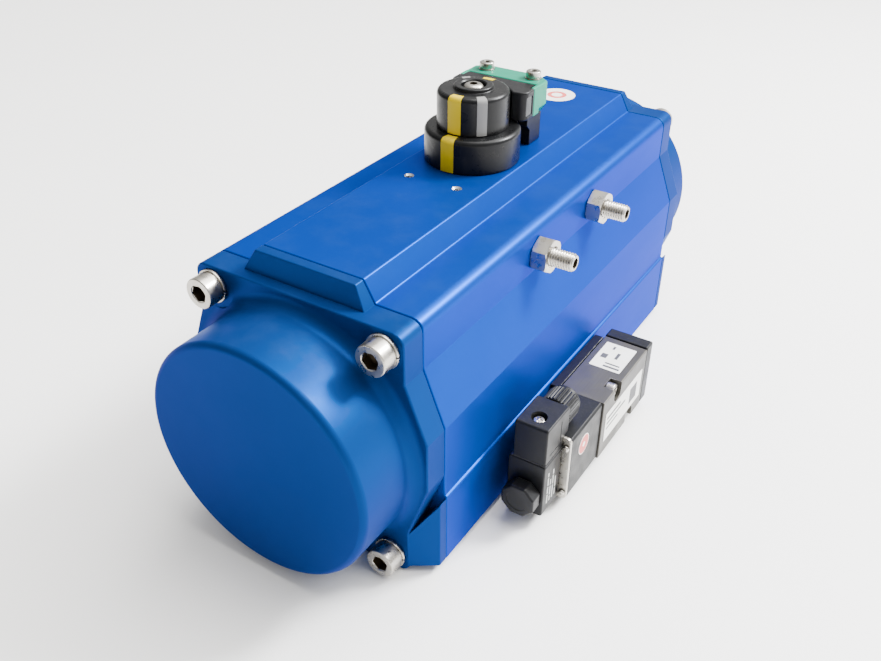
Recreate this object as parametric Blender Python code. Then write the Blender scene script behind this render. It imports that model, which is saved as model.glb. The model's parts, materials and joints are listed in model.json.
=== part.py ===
"""Rotary pneumatic actuator: a spring-return rack and pinion drive with a solenoid valve and a sensor.

The drive shaft stands on the Z axis and the mounting base lies on z = 0. The bore runs along Y, the
front end cap is at -Y and the valve is on the +X side. All lengths are in metres.
"""

import math

import bmesh
import bpy
from mathutils import Matrix, Vector

GAP = 0.0003
ROUND = 32
X, Y, Z = Vector((1, 0, 0)), Vector((0, 1, 0)), Vector((0, 0, 1))

# Extruded body, with heights counted from the bore axis.
AXIS_Z = 0.0715
BODY_HALF_LENGTH = 0.140
BORE_RADIUS = 0.0625
TOP_PAD = 0.0832
TOP_PAD_HALF = 0.029
TOP_PAD_FOOT = 0.035
SHOULDER = 0.0723
EAR_HALF = 0.0604
EAR_LOWER = 0.0466
SIDE_HALF = 0.0719
SIDE_UPPER = 0.0173
SIDE_PAD_TOP = -0.0253
SIDE_PAD_BOTTOM = -0.0673
SIDE_PAD_HALF = 0.0730
CORNER_RADIUS = 0.006
TOP = AXIS_Z + TOP_PAD

# End caps, as for the rear one.
FLANGE_THICK = 0.015
FLANGE_FACE = BODY_HALF_LENGTH + FLANGE_THICK
WEDGE_EDGE = BODY_HALF_LENGTH + 0.006
WEDGE_FOOT = BODY_HALF_LENGTH + 0.009
CUP_RADIUS = 0.0643
CUP_FACE = 0.193
CUP_EDGE = 0.0035
CUP_FILLET = 0.005
CUP_WALL = 0.0055
SPIGOT_END = 0.132
CAP_SCREW_X = 0.0497
CAP_SCREW_Z = 0.0619

# Rack and pinion.
MODULE = 0.0025
TEETH = 20
PITCH_RADIUS = MODULE * TEETH / 2
TOOTH_PITCH = math.pi * MODULE
PRESSURE_ANGLE = math.radians(20)
BACKLASH = 0.0003
GEAR_HALF = 0.024
RACK_HALF = 0.020
HEAD_FACE = 0.050
HEAD_THICK = 0.028
LEG_END = -0.0466
LEG_BACK = 0.050

# Drive shaft, with heights counted from the base.
LOWER_JOURNAL = 0.025
LOWER_OPENING = 0.028
UPPER_JOURNAL = 0.0175
UPPER_OPENING = 0.020
STUB_RADIUS = 0.010
STUB_TOP = TOP + 0.020
SOCKET_SIDE = 0.022
SOCKET_DEPTH = 0.026

# Travel stops.
STOP_Y = 0.033
STOP_Z = AXIS_Z + 0.056
STOP_TIP = 0.0143
STOP_END = 0.082
CAM_HUB = 0.025
CAM_RADIUS = 0.0389
CAM_HALF = 0.0045
CHAMBER_RADIUS = 0.0405

# Position indicator, with heights counted from the top pad.
PUCK_LOWER_RADIUS = 0.0265
PUCK_LOWER_TOP = 0.019
PUCK_UPPER_RADIUS = 0.0197
PUCK_UPPER_TOP = 0.0395
PUCK_BOSS_RADIUS = 0.0107
PUCK_BOSS_TOP = 0.0415
PUCK_WELL = 0.0035
YELLOW_ANGLE = -90
YELLOW_WIDTH = 0.0080
GREY_ANGLE = -45
GREY_WIDTH = 0.0055

# Sensor on the 80 x 30 mm accessory holes.
ACCESSORY_X = 0.015
ACCESSORY_Y = 0.040
SENSOR_HALF = 0.024
SENSOR_BOTTOM = TOP + 0.0198
COVER_BOTTOM = TOP + 0.0170
SENSOR_TOP = TOP + 0.036
SENSOR_BACK = 0.047
SENSOR_JOINT = 0.031

# Solenoid valve on the side pad.
VALVE_INNER = 0.0791
VALVE_OUTER = 0.1065
VALVE_TOP = AXIS_Z - 0.026
VALVE_BOTTOM = AXIS_Z - 0.066
VALVE_FRONT = -0.031
VALVE_REAR = 0.0305
VALVE_CAP_REAR = 0.0395
PORT_Z = AXIS_Z - 0.0463
PORT_Y = 0.012
NAMUR_SCREW_DROP = 0.016
PILOT_FRONT = -0.069
BRACKET_FRONT = -0.0711
SPOOL_X = 0.0928
BRACKET_SCREW_X = 0.1030
BRACKET_SCREW_Z = (AXIS_Z - 0.0300, AXIS_Z - 0.0610)
COIL_INNER = 0.0795
COIL_OUTER = 0.101
COIL_FRONT = -0.0906
COIL_TOP = AXIS_Z - 0.0305
COIL_BOTTOM = AXIS_Z - 0.065
COIL_X = (COIL_INNER + COIL_OUTER) / 2
COIL_Z = AXIS_Z - 0.052
PLUG_INNER = 0.082
PLUG_TOP = AXIS_Z - 0.0065
PLUG_REAR = -0.0653
GLAND_Z = AXIS_Z - 0.0156

REAR = Matrix.Identity(4)
FRONT = Matrix.Rotation(math.pi, 4, "Z")

BLUE = (0.01, 0.10, 0.48, 1)
BLACK = (0.02, 0.02, 0.022, 1)
STEEL = (0.62, 0.61, 0.58, 1)
ALUMINIUM = (0.55, 0.56, 0.57, 1)


def clear_scene():
    for obj in list(bpy.data.objects):
        bpy.data.objects.remove(obj, do_unlink=True)


def axis_matrix(axis):
    """The turn that takes +Z to the given axis."""
    return Z.rotation_difference(axis).to_matrix().to_4x4()


def add_turned(bm, profile, axis=Z, centre=(0, 0, 0), steps=24):
    """Adds a solid of revolution from (radius, height) points. A ring's profile is a loop."""
    verts = [bm.verts.new((radius, 0, height)) for radius, height in profile]
    edges = [bm.edges.new(pair) for pair in zip(verts, verts[1:])]
    if profile[0][0] > 0 or profile[-1][0] > 0:
        edges.append(bm.edges.new((verts[-1], verts[0])))
    known = set(bm.faces)
    bmesh.ops.spin(
        bm, geom=verts + edges, axis=Z, cent=(0, 0, 0), angle=math.tau, steps=steps, use_merge=True
    )
    new_verts = {vert for face in bm.faces if face not in known for vert in face.verts}
    bmesh.ops.remove_doubles(bm, verts=list(new_verts), dist=1e-7)
    new_verts = {vert for face in bm.faces if face not in known for vert in face.verts}
    place = Matrix.Translation(Vector(centre)) @ axis_matrix(axis)
    bmesh.ops.transform(bm, matrix=place, verts=list(new_verts))


def add_cylinder(bm, radius, start, end, axis=Z, centre=(0, 0, 0), steps=24):
    add_turned(bm, [(0, start), (radius, start), (radius, end), (0, end)], axis, centre, steps)


def add_prism(bm, outline, start, end, axis=Z):
    """Extrudes an outline: (x, y) points along Z, (x, z) points along Y, or (y, z) points along X."""
    if axis == Z:
        verts = [bm.verts.new((a, b, start)) for a, b in outline]
    elif axis == Y:
        verts = [bm.verts.new((a, start, b)) for a, b in outline]
    else:
        verts = [bm.verts.new((start, a, b)) for a, b in outline]
    face = bm.faces.new(verts)
    moved = bmesh.ops.extrude_face_region(bm, geom=[face], use_keep_orig=True)["geom"]
    top = [item for item in moved if isinstance(item, bmesh.types.BMVert)]
    bmesh.ops.translate(bm, vec=axis * (end - start), verts=top)


def add_box(bm, low, high):
    outline = [(low[0], low[1]), (high[0], low[1]), (high[0], high[1]), (low[0], high[1])]
    add_prism(bm, outline, low[2], high[2])


def add_hull(bm, points):
    verts = [bm.verts.new(point) for point in points]
    bmesh.ops.convex_hull(bm, input=verts)


def arc(centre, radius, start, end, steps):
    """Points on an arc, with its angles in degrees."""
    points = []
    for step in range(steps + 1):
        angle = math.radians(start + (end - start) * step / steps)
        points.append((centre[0] + radius * math.cos(angle), centre[1] + radius * math.sin(angle)))
    return points


def rounded_box(half_a, half_b, radius, steps=3, centre=(0, 0)):
    """The outline of a rectangle with round corners."""
    points = []
    for quarter, (side_a, side_b) in enumerate(((1, 1), (-1, 1), (-1, -1), (1, -1))):
        corner = (centre[0] + side_a * (half_a - radius), centre[1] + side_b * (half_b - radius))
        points += arc(corner, radius, 90 * quarter, 90 * quarter + 90, steps)
    return points


def material(name, colour, roughness, metallic=0.0):
    made = bpy.data.materials.new(name)
    made.use_nodes = True
    shader = made.node_tree.nodes["Principled BSDF"]
    shader.inputs["Base Color"].default_value = colour
    shader.inputs["Roughness"].default_value = roughness
    shader.inputs["Metallic"].default_value = metallic
    return made


def make(name, bm, look, turn=REAR, origin=(0, 0, 0)):
    """Turns the mesh about Z, sets its origin and makes it an object with a material of its own."""
    bmesh.ops.recalc_face_normals(bm, faces=bm.faces)
    mesh = bpy.data.meshes.new(name)
    bm.to_mesh(mesh)
    bm.free()
    origin = turn @ Vector(origin)
    mesh.transform(Matrix.Translation(-origin) @ turn)
    mesh.shade_smooth()
    mesh.set_sharp_from_angle(angle=math.radians(35))
    obj = bpy.data.objects.new(name, mesh)
    obj.location = origin
    bpy.context.collection.objects.link(obj)
    if look:
        obj.data.materials.append(material(name, *look))
    return obj


def combine(obj, bm, operation, turn=REAR):
    """Cuts the mesh from the object, or joins it on. The helper stays in the scene as a hidden guide."""
    helper = make(f"{obj.name}_{operation.lower()}", bm, None, turn)
    helper.hide_render = True
    helper.display_type = "WIRE"
    modifier = obj.modifiers.new(operation.title(), "BOOLEAN")
    modifier.operation = operation
    modifier.object = helper
    modifier.solver = "EXACT"


def mirrored(points):
    """A closed outline from its right half, listed from top to bottom."""
    return points + [(-x, z) for x, z in reversed(points)]


def at_axis(points):
    return [(x, AXIS_Z + z) for x, z in points]


def body_outline():
    corner = (EAR_HALF - CORNER_RADIUS, SHOULDER - CORNER_RADIUS)
    right = [(TOP_PAD_HALF, TOP_PAD), (TOP_PAD_FOOT, SHOULDER)]
    right += arc(corner, CORNER_RADIUS, 90, 0, 4)
    right += [(EAR_HALF, EAR_LOWER), (SIDE_HALF, SIDE_UPPER), (SIDE_HALF, SIDE_PAD_TOP + 0.0008)]
    right += [(SIDE_PAD_HALF, SIDE_PAD_TOP), (SIDE_PAD_HALF, SIDE_PAD_BOTTOM)]
    right += [(SIDE_PAD_HALF - 0.0042, -AXIS_Z)]
    return at_axis(mirrored(right))


def flange_outline():
    corner = (EAR_HALF - CORNER_RADIUS, SHOULDER - CORNER_RADIUS)
    foot = (EAR_HALF - CORNER_RADIUS, -AXIS_Z + CORNER_RADIUS)
    right = arc(corner, CORNER_RADIUS, 90, 0, 4)
    right += [(EAR_HALF, EAR_LOWER), (SIDE_HALF, SIDE_UPPER)]
    right += [(SIDE_HALF, -0.0105), (EAR_HALF, -0.044)]
    right += arc(foot, CORNER_RADIUS, 0, -90, 4)
    return at_axis(mirrored(right))


def four_corners(half_x, half_y):
    return [(side_x * half_x, side_y * half_y) for side_x in (-1, 1) for side_y in (-1, 1)]


def shaft_cutter():
    """The lower opening, a relief in the bore, the cam chamber and the upper opening, in one turned shape."""
    chamber_low = STOP_Z - CAM_HALF - 0.002
    chamber_high = STOP_Z + CAM_HALF + 0.0015
    bm = bmesh.new()
    profile = [(0, -0.001), (LOWER_OPENING, -0.001), (LOWER_OPENING, AXIS_Z - 0.03)]
    profile += [(UPPER_OPENING, AXIS_Z - 0.03), (UPPER_OPENING, chamber_low)]
    profile += [(CHAMBER_RADIUS, chamber_low), (CHAMBER_RADIUS, chamber_high)]
    profile += [(UPPER_OPENING, chamber_high), (UPPER_OPENING, TOP + 0.001)]
    add_turned(bm, profile + [(0, TOP + 0.001)], steps=24)
    return bm


def bolt_hole_cutter():
    """Cap screw, stop bolt, valve bridge and accessory holes, with the two bolt circles in the base."""
    bm = bmesh.new()
    for x, z in four_corners(CAP_SCREW_X, CAP_SCREW_Z):
        for start, end in ((0.106, 0.141), (-0.141, -0.106)):
            add_cylinder(bm, 0.0053, start, end, Y, (x, 0, AXIS_Z + z), 12)
    for y in (-STOP_Y, STOP_Y):
        add_cylinder(bm, 0.0053, STOP_TIP, EAR_HALF + 0.001, X, (0, y, STOP_Z), 12)
    for x, y in four_corners(ACCESSORY_X, ACCESSORY_Y):
        add_cylinder(bm, 0.0026, TOP - 0.009, TOP + 0.001, Z, (x, y, 0), 8)
    for x, y in four_corners(0.035 * math.sqrt(0.5), 0.035 * math.sqrt(0.5)):
        add_cylinder(bm, 0.0034, -0.001, 0.011, Z, (x, y, 0), 10)
    for x, y in four_corners(0.051 * math.sqrt(0.5), 0.051 * math.sqrt(0.5)):
        add_cylinder(bm, 0.0043, -0.001, 0.016, Z, (x, y, 0), 10)
    return bm


def side_hole_cutter():
    """Air ports and screw holes of the side pad that carries the valve."""
    bm = bmesh.new()
    add_cylinder(bm, 0.0050, 0.035, SIDE_PAD_HALF + 0.001, X, (0, PORT_Y, PORT_Z), 16)
    add_cylinder(bm, 0.0050, 0.055, SIDE_PAD_HALF + 0.001, X, (0, -PORT_Y, PORT_Z), 16)
    for y, side in ((-PORT_Y, 1), (PORT_Y, -1)):
        centre = (0, y, PORT_Z + side * NAMUR_SCREW_DROP)
        add_cylinder(bm, 0.0027, 0.0615, SIDE_PAD_HALF + 0.001, X, centre, 12)
    return bm


def body_extrusion():
    bm = bmesh.new()
    add_prism(bm, body_outline(), -BODY_HALF_LENGTH, BODY_HALF_LENGTH, Y)
    body = make("body_extrusion", bm, (BLUE, 0.35))
    bore = bmesh.new()
    add_cylinder(bore, BORE_RADIUS, -0.141, 0.141, Y, (0, 0, AXIS_Z), ROUND)
    combine(body, bore, "DIFFERENCE")
    combine(body, shaft_cutter(), "DIFFERENCE")
    combine(body, bolt_hole_cutter(), "DIFFERENCE")
    combine(body, side_hole_cutter(), "DIFFERENCE")


def cup_profile():
    """The outside of the cap's cup and of the spigot that enters the bore, heights counted along Y."""
    spigot = BORE_RADIUS - 0.0004
    groove = spigot - 0.002
    profile = [(0, SPIGOT_END), (spigot, SPIGOT_END), (spigot, 0.1345)]
    profile += [(groove, 0.1345), (groove, 0.1375)]
    root = CUP_RADIUS + CUP_FILLET
    profile += [(spigot, 0.1375), (spigot, 0.142), (root, 0.142), (root, FLANGE_FACE)]
    profile += arc((root, FLANGE_FACE + CUP_FILLET), CUP_FILLET, 270, 180, 3)[1:]
    profile += arc((CUP_RADIUS - CUP_EDGE, CUP_FACE - CUP_EDGE), CUP_EDGE, 0, 90, 4)
    return profile + [(0, CUP_FACE)]


def add_top_wedge(bm):
    """The cap's part of the raised top pad, with a sloped end."""
    low, high = AXIS_Z + SHOULDER - 0.002, AXIS_Z + TOP_PAD
    start = BODY_HALF_LENGTH + GAP
    points = []
    for side in (-1, 1):
        points += [(side * TOP_PAD_HALF, start, high), (side * TOP_PAD_HALF, WEDGE_EDGE, high)]
        points += [(side * 0.0361, start, low), (side * 0.0361, WEDGE_FOOT, low)]
    add_hull(bm, points)


def add_side_wedges(bm):
    """The cap's part of the side pads, with sloped ends."""
    start = BODY_HALF_LENGTH + GAP
    low, high = AXIS_Z + SIDE_PAD_BOTTOM, AXIS_Z + SIDE_PAD_TOP
    for side in (-1, 1):
        points = []
        for z, drop in ((low, 0.0), (high, 0.0195)):
            points += [(side * SIDE_PAD_HALF, start, z), (side * SIDE_PAD_HALF, WEDGE_EDGE, z)]
            points += [(side * (EAR_HALF - 0.0005), start, z - drop)]
            points += [(side * (EAR_HALF - 0.0005), FLANGE_FACE - 0.0003, z - drop)]
        add_hull(bm, points)


def end_cap(name, turn):
    bm = bmesh.new()
    add_prism(bm, flange_outline(), BODY_HALF_LENGTH + GAP, FLANGE_FACE, Y)
    cap = make(name, bm, (BLUE, 0.5), turn)
    wedges = bmesh.new()
    add_top_wedge(wedges)
    add_side_wedges(wedges)
    combine(cap, wedges, "UNION", turn)
    cup = bmesh.new()
    add_turned(cup, cup_profile(), Y, (0, 0, AXIS_Z), ROUND)
    combine(cap, cup, "UNION", turn)
    cavity = bmesh.new()
    inner = CUP_RADIUS - CUP_WALL
    add_cylinder(cavity, inner, SPIGOT_END - 0.001, CUP_FACE - CUP_WALL, Y, (0, 0, AXIS_Z), ROUND)
    for x, z in four_corners(CAP_SCREW_X, CAP_SCREW_Z):
        add_cylinder(cavity, 0.0053, 0.139, FLANGE_FACE + 0.001, Y, (x, 0, AXIS_Z + z), 12)
    combine(cap, cavity, "DIFFERENCE", turn)


def ring(name, look, radii, span, axis, centre, steps=ROUND, turn=REAR, origin=(0, 0, 0)):
    """A plain ring: radii are the inner and outer one, and span its start and end along the axis."""
    inner, outer = radii
    start, end = span
    bm = bmesh.new()
    add_turned(bm, [(inner, end), (outer, end), (outer, start), (inner, start)], axis, centre, steps)
    return make(name, bm, look, turn, origin)


def cap_seal(name, turn):
    radii = (BORE_RADIUS - 0.0024 + GAP, BORE_RADIUS - GAP)
    ring(name, (BLACK, 0.7), radii, (0.1348, 0.1372), Y, (0, 0, AXIS_Z), turn=turn)


def add_hexagon(bm, flats, start, end, axis, centre):
    add_cylinder(bm, flats / math.sqrt(3), start, end, axis, centre, 6)


def socket_screw(name, head, height, shank, length, key, seat, axis, origin=(0, 0, 0), turn=REAR):
    """A socket head screw: seat is the height of its head's underside along the axis."""
    bm = bmesh.new()
    profile = [(0, seat - length), (shank, seat - length), (shank, seat), (head, seat)]
    profile += [(head, seat + height), (0, seat + height)]
    add_turned(bm, profile, axis, origin, 12)
    screw = make(name, bm, (STEEL, 0.3, 1.0), turn)
    recess = bmesh.new()
    add_hexagon(recess, key, seat + height * 0.45, seat + height + 0.001, axis, origin)
    combine(screw, recess, "DIFFERENCE", turn)


def cap_screws():
    for end, turn in (("front", FRONT), ("rear", REAR)):
        for level, z in (("upper", CAP_SCREW_Z), ("lower", -CAP_SCREW_Z)):
            for side, x in (("left", -CAP_SCREW_X), ("right", CAP_SCREW_X)):
                own_x = -x if turn is FRONT else x
                name = f"{end}_cap_screw_{level}_{side}"
                seat = FLANGE_FACE + GAP
                place = (own_x, 0, AXIS_Z + z)
                socket_screw(name, 0.008, 0.010, 0.0048, 0.040, 0.008, seat, Y, place, turn)


def bearings():
    plastic = ((0.75, 0.72, 0.62, 1), 0.5)
    lower = (LOWER_JOURNAL + GAP, LOWER_OPENING - GAP)
    ring("lower_bearing", plastic, lower, (0.0015, 0.0085), Z, (0, 0, 0), 24)
    upper = (UPPER_JOURNAL + GAP, UPPER_OPENING - GAP)
    ring("upper_bearing", plastic, upper, (TOP - 0.018, TOP - 0.002), Z, (0, 0, 0), 24)


def involute(angle):
    return math.tan(angle) - angle


def gear_outline():
    base = PITCH_RADIUS * math.cos(PRESSURE_ANGLE)
    root = PITCH_RADIUS - 1.25 * MODULE
    radii = [root, base, PITCH_RADIUS + 0.2 * MODULE, PITCH_RADIUS + MODULE]
    half_thick = (TOOTH_PITCH / 2 - BACKLASH) / 2 / PITCH_RADIUS + involute(PRESSURE_ANGLE)
    half_angles = [half_thick - involute(math.acos(min(1.0, base / radius))) for radius in radii]
    points = []
    for tooth in range(TEETH):
        middle = math.tau * tooth / TEETH
        rising = [(radius, middle - half) for radius, half in zip(radii, half_angles)]
        falling = [(radius, middle + half) for radius, half in zip(radii[::-1], half_angles[::-1])]
        for radius, angle in rising + falling:
            points.append((radius * math.cos(angle), radius * math.sin(angle)))
    return points


def pinion_shaft():
    """The toothed drive shaft, with a square socket below and a slotted stub above."""
    gear = bmesh.new()
    add_prism(gear, gear_outline(), AXIS_Z - GEAR_HALF, AXIS_Z + GEAR_HALF)
    shaft = make("pinion_shaft", gear, (STEEL, 0.4, 1.0))
    turned = bmesh.new()
    profile = [(0, 0.0002), (LOWER_JOURNAL, 0.0002), (LOWER_JOURNAL, 0.011), (0.0215, 0.011)]
    profile += [(0.0215, 0.105), (UPPER_JOURNAL, 0.105)]
    profile += [(UPPER_JOURNAL, TOP + 0.0015), (0.0160, TOP + 0.0015)]
    profile += [(0.0160, TOP + 0.0035), (UPPER_JOURNAL, TOP + 0.0035), (UPPER_JOURNAL, TOP + 0.0055)]
    profile += [(STUB_RADIUS, TOP + 0.0055), (STUB_RADIUS, STUB_TOP), (0, STUB_TOP)]
    add_turned(turned, profile, steps=24)
    combine(shaft, turned, "UNION")
    socket = bmesh.new()
    half = SOCKET_SIDE / 2
    add_box(socket, (-half, -half, -0.001), (half, half, SOCKET_DEPTH))
    add_cylinder(socket, 0.0025, STUB_TOP - 0.016, STUB_TOP + 0.001, steps=12)
    turn = Matrix.Rotation(math.radians(45), 3, "Z")
    bmesh.ops.rotate(socket, cent=(0, 0, 0), matrix=turn, verts=socket.verts)
    combine(shaft, socket, "DIFFERENCE")


def stop_cam():
    """A hub with one wide sector, whose two flats meet the stop bolts at each end of the quarter turn."""
    flat = STOP_TIP - GAP
    hub_angle = math.degrees(math.acos(flat / CAM_HUB))
    tip_angle = math.degrees(math.acos(flat / CAM_RADIUS))
    outline = arc((0, 0), CAM_RADIUS, tip_angle, 270 - tip_angle, 10)
    outline += arc((0, 0), CAM_HUB, 270 - hub_angle, 360 + hub_angle, 14)
    bm = bmesh.new()
    add_prism(bm, outline, STOP_Z - CAM_HALF, STOP_Z + CAM_HALF)
    cam = make("stop_cam", bm, (STEEL, 0.45, 1.0))
    hole = bmesh.new()
    add_cylinder(hole, UPPER_JOURNAL + GAP, STOP_Z - 0.01, STOP_Z + 0.01, steps=24)
    combine(cam, hole, "DIFFERENCE")


def circlip():
    """A snap ring in the shaft's groove, with a gap at the side."""
    middle = TOP + 0.0025
    outline = arc((0, 0), 0.0215, 20, 340, 24) + arc((0, 0), 0.0163, 340, 20, 24)
    bm = bmesh.new()
    add_prism(bm, outline, middle - 0.0006, middle + 0.0006)
    make("circlip", bm, (STEEL, 0.35, 1.0))


def piston_head_profile():
    radius = BORE_RADIUS - GAP
    face, back = HEAD_FACE, HEAD_FACE + HEAD_THICK
    profile = [(0, face), (radius - 0.001, face), (radius, face + 0.001)]
    for start, width in ((0.005, 0.008), (0.018, 0.004)):
        groove = radius - 0.0028
        profile += [(radius, face + start), (groove, face + start)]
        profile += [(groove, face + start + width), (radius, face + start + width)]
    profile += [(radius, back - 0.001), (radius - 0.001, back), (0.042, back)]
    profile += [(0.042, back - 0.007), (0.026, back - 0.007), (0.026, back), (0, back)]
    return profile


def rack_leg_outline():
    """The piston's leg seen from above, with straight-sided teeth towards the pinion."""
    tip = PITCH_RADIUS - MODULE
    root = PITCH_RADIUS + 1.25 * MODULE
    slope = math.tan(PRESSURE_ANGLE)
    half_thick = (TOOTH_PITCH / 2 - BACKLASH) / 2
    outline = [(LEG_BACK, HEAD_FACE + 0.004), (LEG_BACK, LEG_END), (root, LEG_END)]
    for count in range(-6, 2):
        middle = (count + 0.5) * TOOTH_PITCH
        low = half_thick + (root - PITCH_RADIUS) * slope
        high = half_thick - (PITCH_RADIUS - tip) * slope
        outline += [(root, middle - low), (tip, middle - high)]
        outline += [(tip, middle + high), (root, middle + low)]
    return outline + [(root, HEAD_FACE + 0.004)]


def piston(name, turn):
    bm = bmesh.new()
    add_turned(bm, piston_head_profile(), Y, (0, 0, AXIS_Z), ROUND)
    made = make(name, bm, (ALUMINIUM, 0.45, 1.0), turn, (0, 0, AXIS_Z))
    leg = bmesh.new()
    add_prism(leg, rack_leg_outline(), AXIS_Z - RACK_HALF, AXIS_Z + RACK_HALF)
    combine(made, leg, "UNION", turn)


def piston_trim(end, turn):
    """The guide band and seal in the head's grooves, and the slide pad behind the rack."""
    centre = (0, 0, AXIS_Z)
    radii = (BORE_RADIUS - 0.0028, BORE_RADIUS - 0.0002)
    band, seal = HEAD_FACE + 0.005 + GAP, HEAD_FACE + 0.018 + GAP
    cream, rubber = ((0.80, 0.77, 0.68, 1), 0.5), (BLACK, 0.7)
    ring(f"{end}_guide_band", cream, radii, (band, band + 0.0074), Y, centre, ROUND, turn, centre)
    ring(f"{end}_piston_seal", rubber, radii, (seal, seal + 0.0034), Y, centre, ROUND, turn, centre)
    pad = bmesh.new()
    add_box(pad, (LEG_BACK + GAP, LEG_END + 0.004, AXIS_Z - 0.014), (0.0592, -0.004, AXIS_Z + 0.014))
    make(f"{end}_rack_pad", pad, cream, turn, centre)


def helix_spring(name, radius, wire, turns, ends, centre, turn=REAR, steps=10, sides=4):
    """A coil spring along Y with closed ends, swept from a ring of wire."""
    start, end = ends
    span = end - start - 2 * wire
    total = turns * steps
    bm = bmesh.new()
    rings = []
    for step in range(total + 1):
        part = step / total
        eased = min(max((part * turns - 0.75) / (turns - 1.5), 0.0), 1.0)
        angle = math.tau * part * turns
        height = start + wire + span * (0.04 * part + 0.96 * eased)
        out = Vector((math.cos(angle), 0, math.sin(angle)))
        middle = Vector(centre) + out * radius + Y * height
        angles = [math.tau * k / sides for k in range(sides)]
        corners = [middle + (out * math.cos(a) + Y * math.sin(a)) * wire for a in angles]
        rings.append([bm.verts.new(corner) for corner in corners])
    for one, two in zip(rings, rings[1:]):
        for k in range(sides):
            bm.faces.new((one[k], one[k - 1], two[k - 1], two[k]))
    bm.faces.new(rings[0])
    bm.faces.new(rings[-1])
    return make(name, bm, (STEEL, 0.4, 1.0), turn, centre)


def return_springs():
    low = HEAD_FACE + HEAD_THICK - 0.007 + GAP
    high = CUP_FACE - CUP_WALL - GAP
    for end, turn in (("front", FRONT), ("rear", REAR)):
        helix_spring(f"{end}_spring", 0.034, 0.003, 6, (low, high), (0, 0, AXIS_Z), turn)


def stop_bolts():
    for end, y in (("front", -STOP_Y), ("rear", STOP_Y)):
        centre = (0, y, STOP_Z)
        bolt = bmesh.new()
        profile = [(0, STOP_TIP), (0.0048, STOP_TIP), (0.0048, STOP_END - 0.0008)]
        add_turned(bolt, profile + [(0.004, STOP_END), (0, STOP_END)], X, centre, 16)
        made = make(f"{end}_stop_bolt", bolt, (STEEL, 0.3, 1.0), REAR, centre)
        recess = bmesh.new()
        add_hexagon(recess, 0.005, STOP_END - 0.006, STOP_END + 0.001, X, centre)
        combine(made, recess, "DIFFERENCE")
        nut = bmesh.new()
        add_hexagon(nut, 0.017, EAR_HALF + GAP, EAR_HALF + 0.0090, X, centre)
        turn = Matrix.Rotation(math.radians(30), 3, "X")
        bmesh.ops.rotate(nut, cent=centre, matrix=turn, verts=nut.verts)
        lock = make(f"{end}_stop_nut", nut, (STEEL, 0.3, 1.0))
        hole = bmesh.new()
        add_cylinder(hole, 0.0052, EAR_HALF - 0.001, EAR_HALF + 0.011, X, centre, 16)
        combine(lock, hole, "DIFFERENCE")


def indicator_puck():
    """The two-tier position puck that rides on the shaft's stub."""
    base_top = TOP + PUCK_LOWER_TOP
    bm = bmesh.new()
    profile = [(0.0230, TOP + GAP), (PUCK_LOWER_RADIUS, TOP + GAP)]
    profile += [(PUCK_LOWER_RADIUS, base_top - 0.002)]
    profile += [(PUCK_LOWER_RADIUS - 0.002, base_top), (STUB_RADIUS + GAP, base_top)]
    profile += [(STUB_RADIUS + GAP, TOP + 0.008), (0.0230, TOP + 0.008)]
    add_turned(bm, profile[::-1], steps=24)
    base = make("indicator_base", bm, (BLACK, 0.35))
    groove = stripe_cutter(PUCK_LOWER_RADIUS, TOP, base_top, YELLOW_ANGLE, YELLOW_WIDTH)
    combine(base, groove, "DIFFERENCE")
    low, high, boss = base_top + GAP, TOP + PUCK_UPPER_TOP, TOP + PUCK_BOSS_TOP
    bm = bmesh.new()
    profile = [(STUB_RADIUS + 0.0005, low), (PUCK_UPPER_RADIUS, low), (PUCK_UPPER_RADIUS, high - 0.002)]
    profile += [(PUCK_UPPER_RADIUS - 0.002, high), (PUCK_BOSS_RADIUS, high)]
    profile += [(PUCK_BOSS_RADIUS - 0.0008, boss), (0.0068, boss), (0.0068, boss - PUCK_WELL)]
    profile += [(0.0033, boss - PUCK_WELL), (0.0033, STUB_TOP + 0.002)]
    add_turned(bm, (profile + [(STUB_RADIUS + 0.0005, STUB_TOP + 0.002)])[::-1], steps=24)
    cap = make("indicator_cap", bm, (BLACK, 0.35))
    for angle, width in ((YELLOW_ANGLE, YELLOW_WIDTH), (GREY_ANGLE, GREY_WIDTH)):
        combine(cap, stripe_cutter(PUCK_UPPER_RADIUS, low, high, angle, width), "DIFFERENCE")


def stripe_shape(radius, low, high, angle, width, margin=0.0):
    """A block across the puck's rim at the given angle, grown by a margin."""
    bm = bmesh.new()
    half = width / 2 + margin
    outer = math.sqrt(radius**2 - half**2) - 0.0004
    add_box(bm, (radius - 0.003 - margin, -half, low), (outer + margin * 12, half, high))
    turn = Matrix.Rotation(math.radians(angle), 3, "Z")
    bmesh.ops.rotate(bm, cent=(0, 0, 0), matrix=turn, verts=bm.verts)
    return bm


def stripe_cutter(radius, low, high, angle, width):
    return stripe_shape(radius, low - 0.001, high + 0.001, angle, width, GAP)


def indicator_inserts():
    base_top = TOP + PUCK_LOWER_TOP
    yellow = ((0.85, 0.70, 0.02, 1), 0.5)
    low, high = TOP + 2 * GAP, base_top - 0.0022
    lower = stripe_shape(PUCK_LOWER_RADIUS, low, high, YELLOW_ANGLE, YELLOW_WIDTH)
    make("lower_yellow_insert", lower, yellow)
    low, high = base_top + 2 * GAP, TOP + PUCK_UPPER_TOP - 0.0022
    upper = stripe_shape(PUCK_UPPER_RADIUS, low, high, YELLOW_ANGLE, YELLOW_WIDTH)
    make("upper_yellow_insert", upper, yellow)
    grey = stripe_shape(PUCK_UPPER_RADIUS, low, high, GREY_ANGLE, GREY_WIDTH)
    make("upper_grey_insert", grey, ((0.4, 0.4, 0.4, 1), 0.4))


def indicator_screw():
    seat = TOP + PUCK_BOSS_TOP - PUCK_WELL + GAP
    socket_screw("indicator_screw", 0.0060, 0.0032, 0.0022, 0.024, 0.004, seat, Z)


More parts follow.
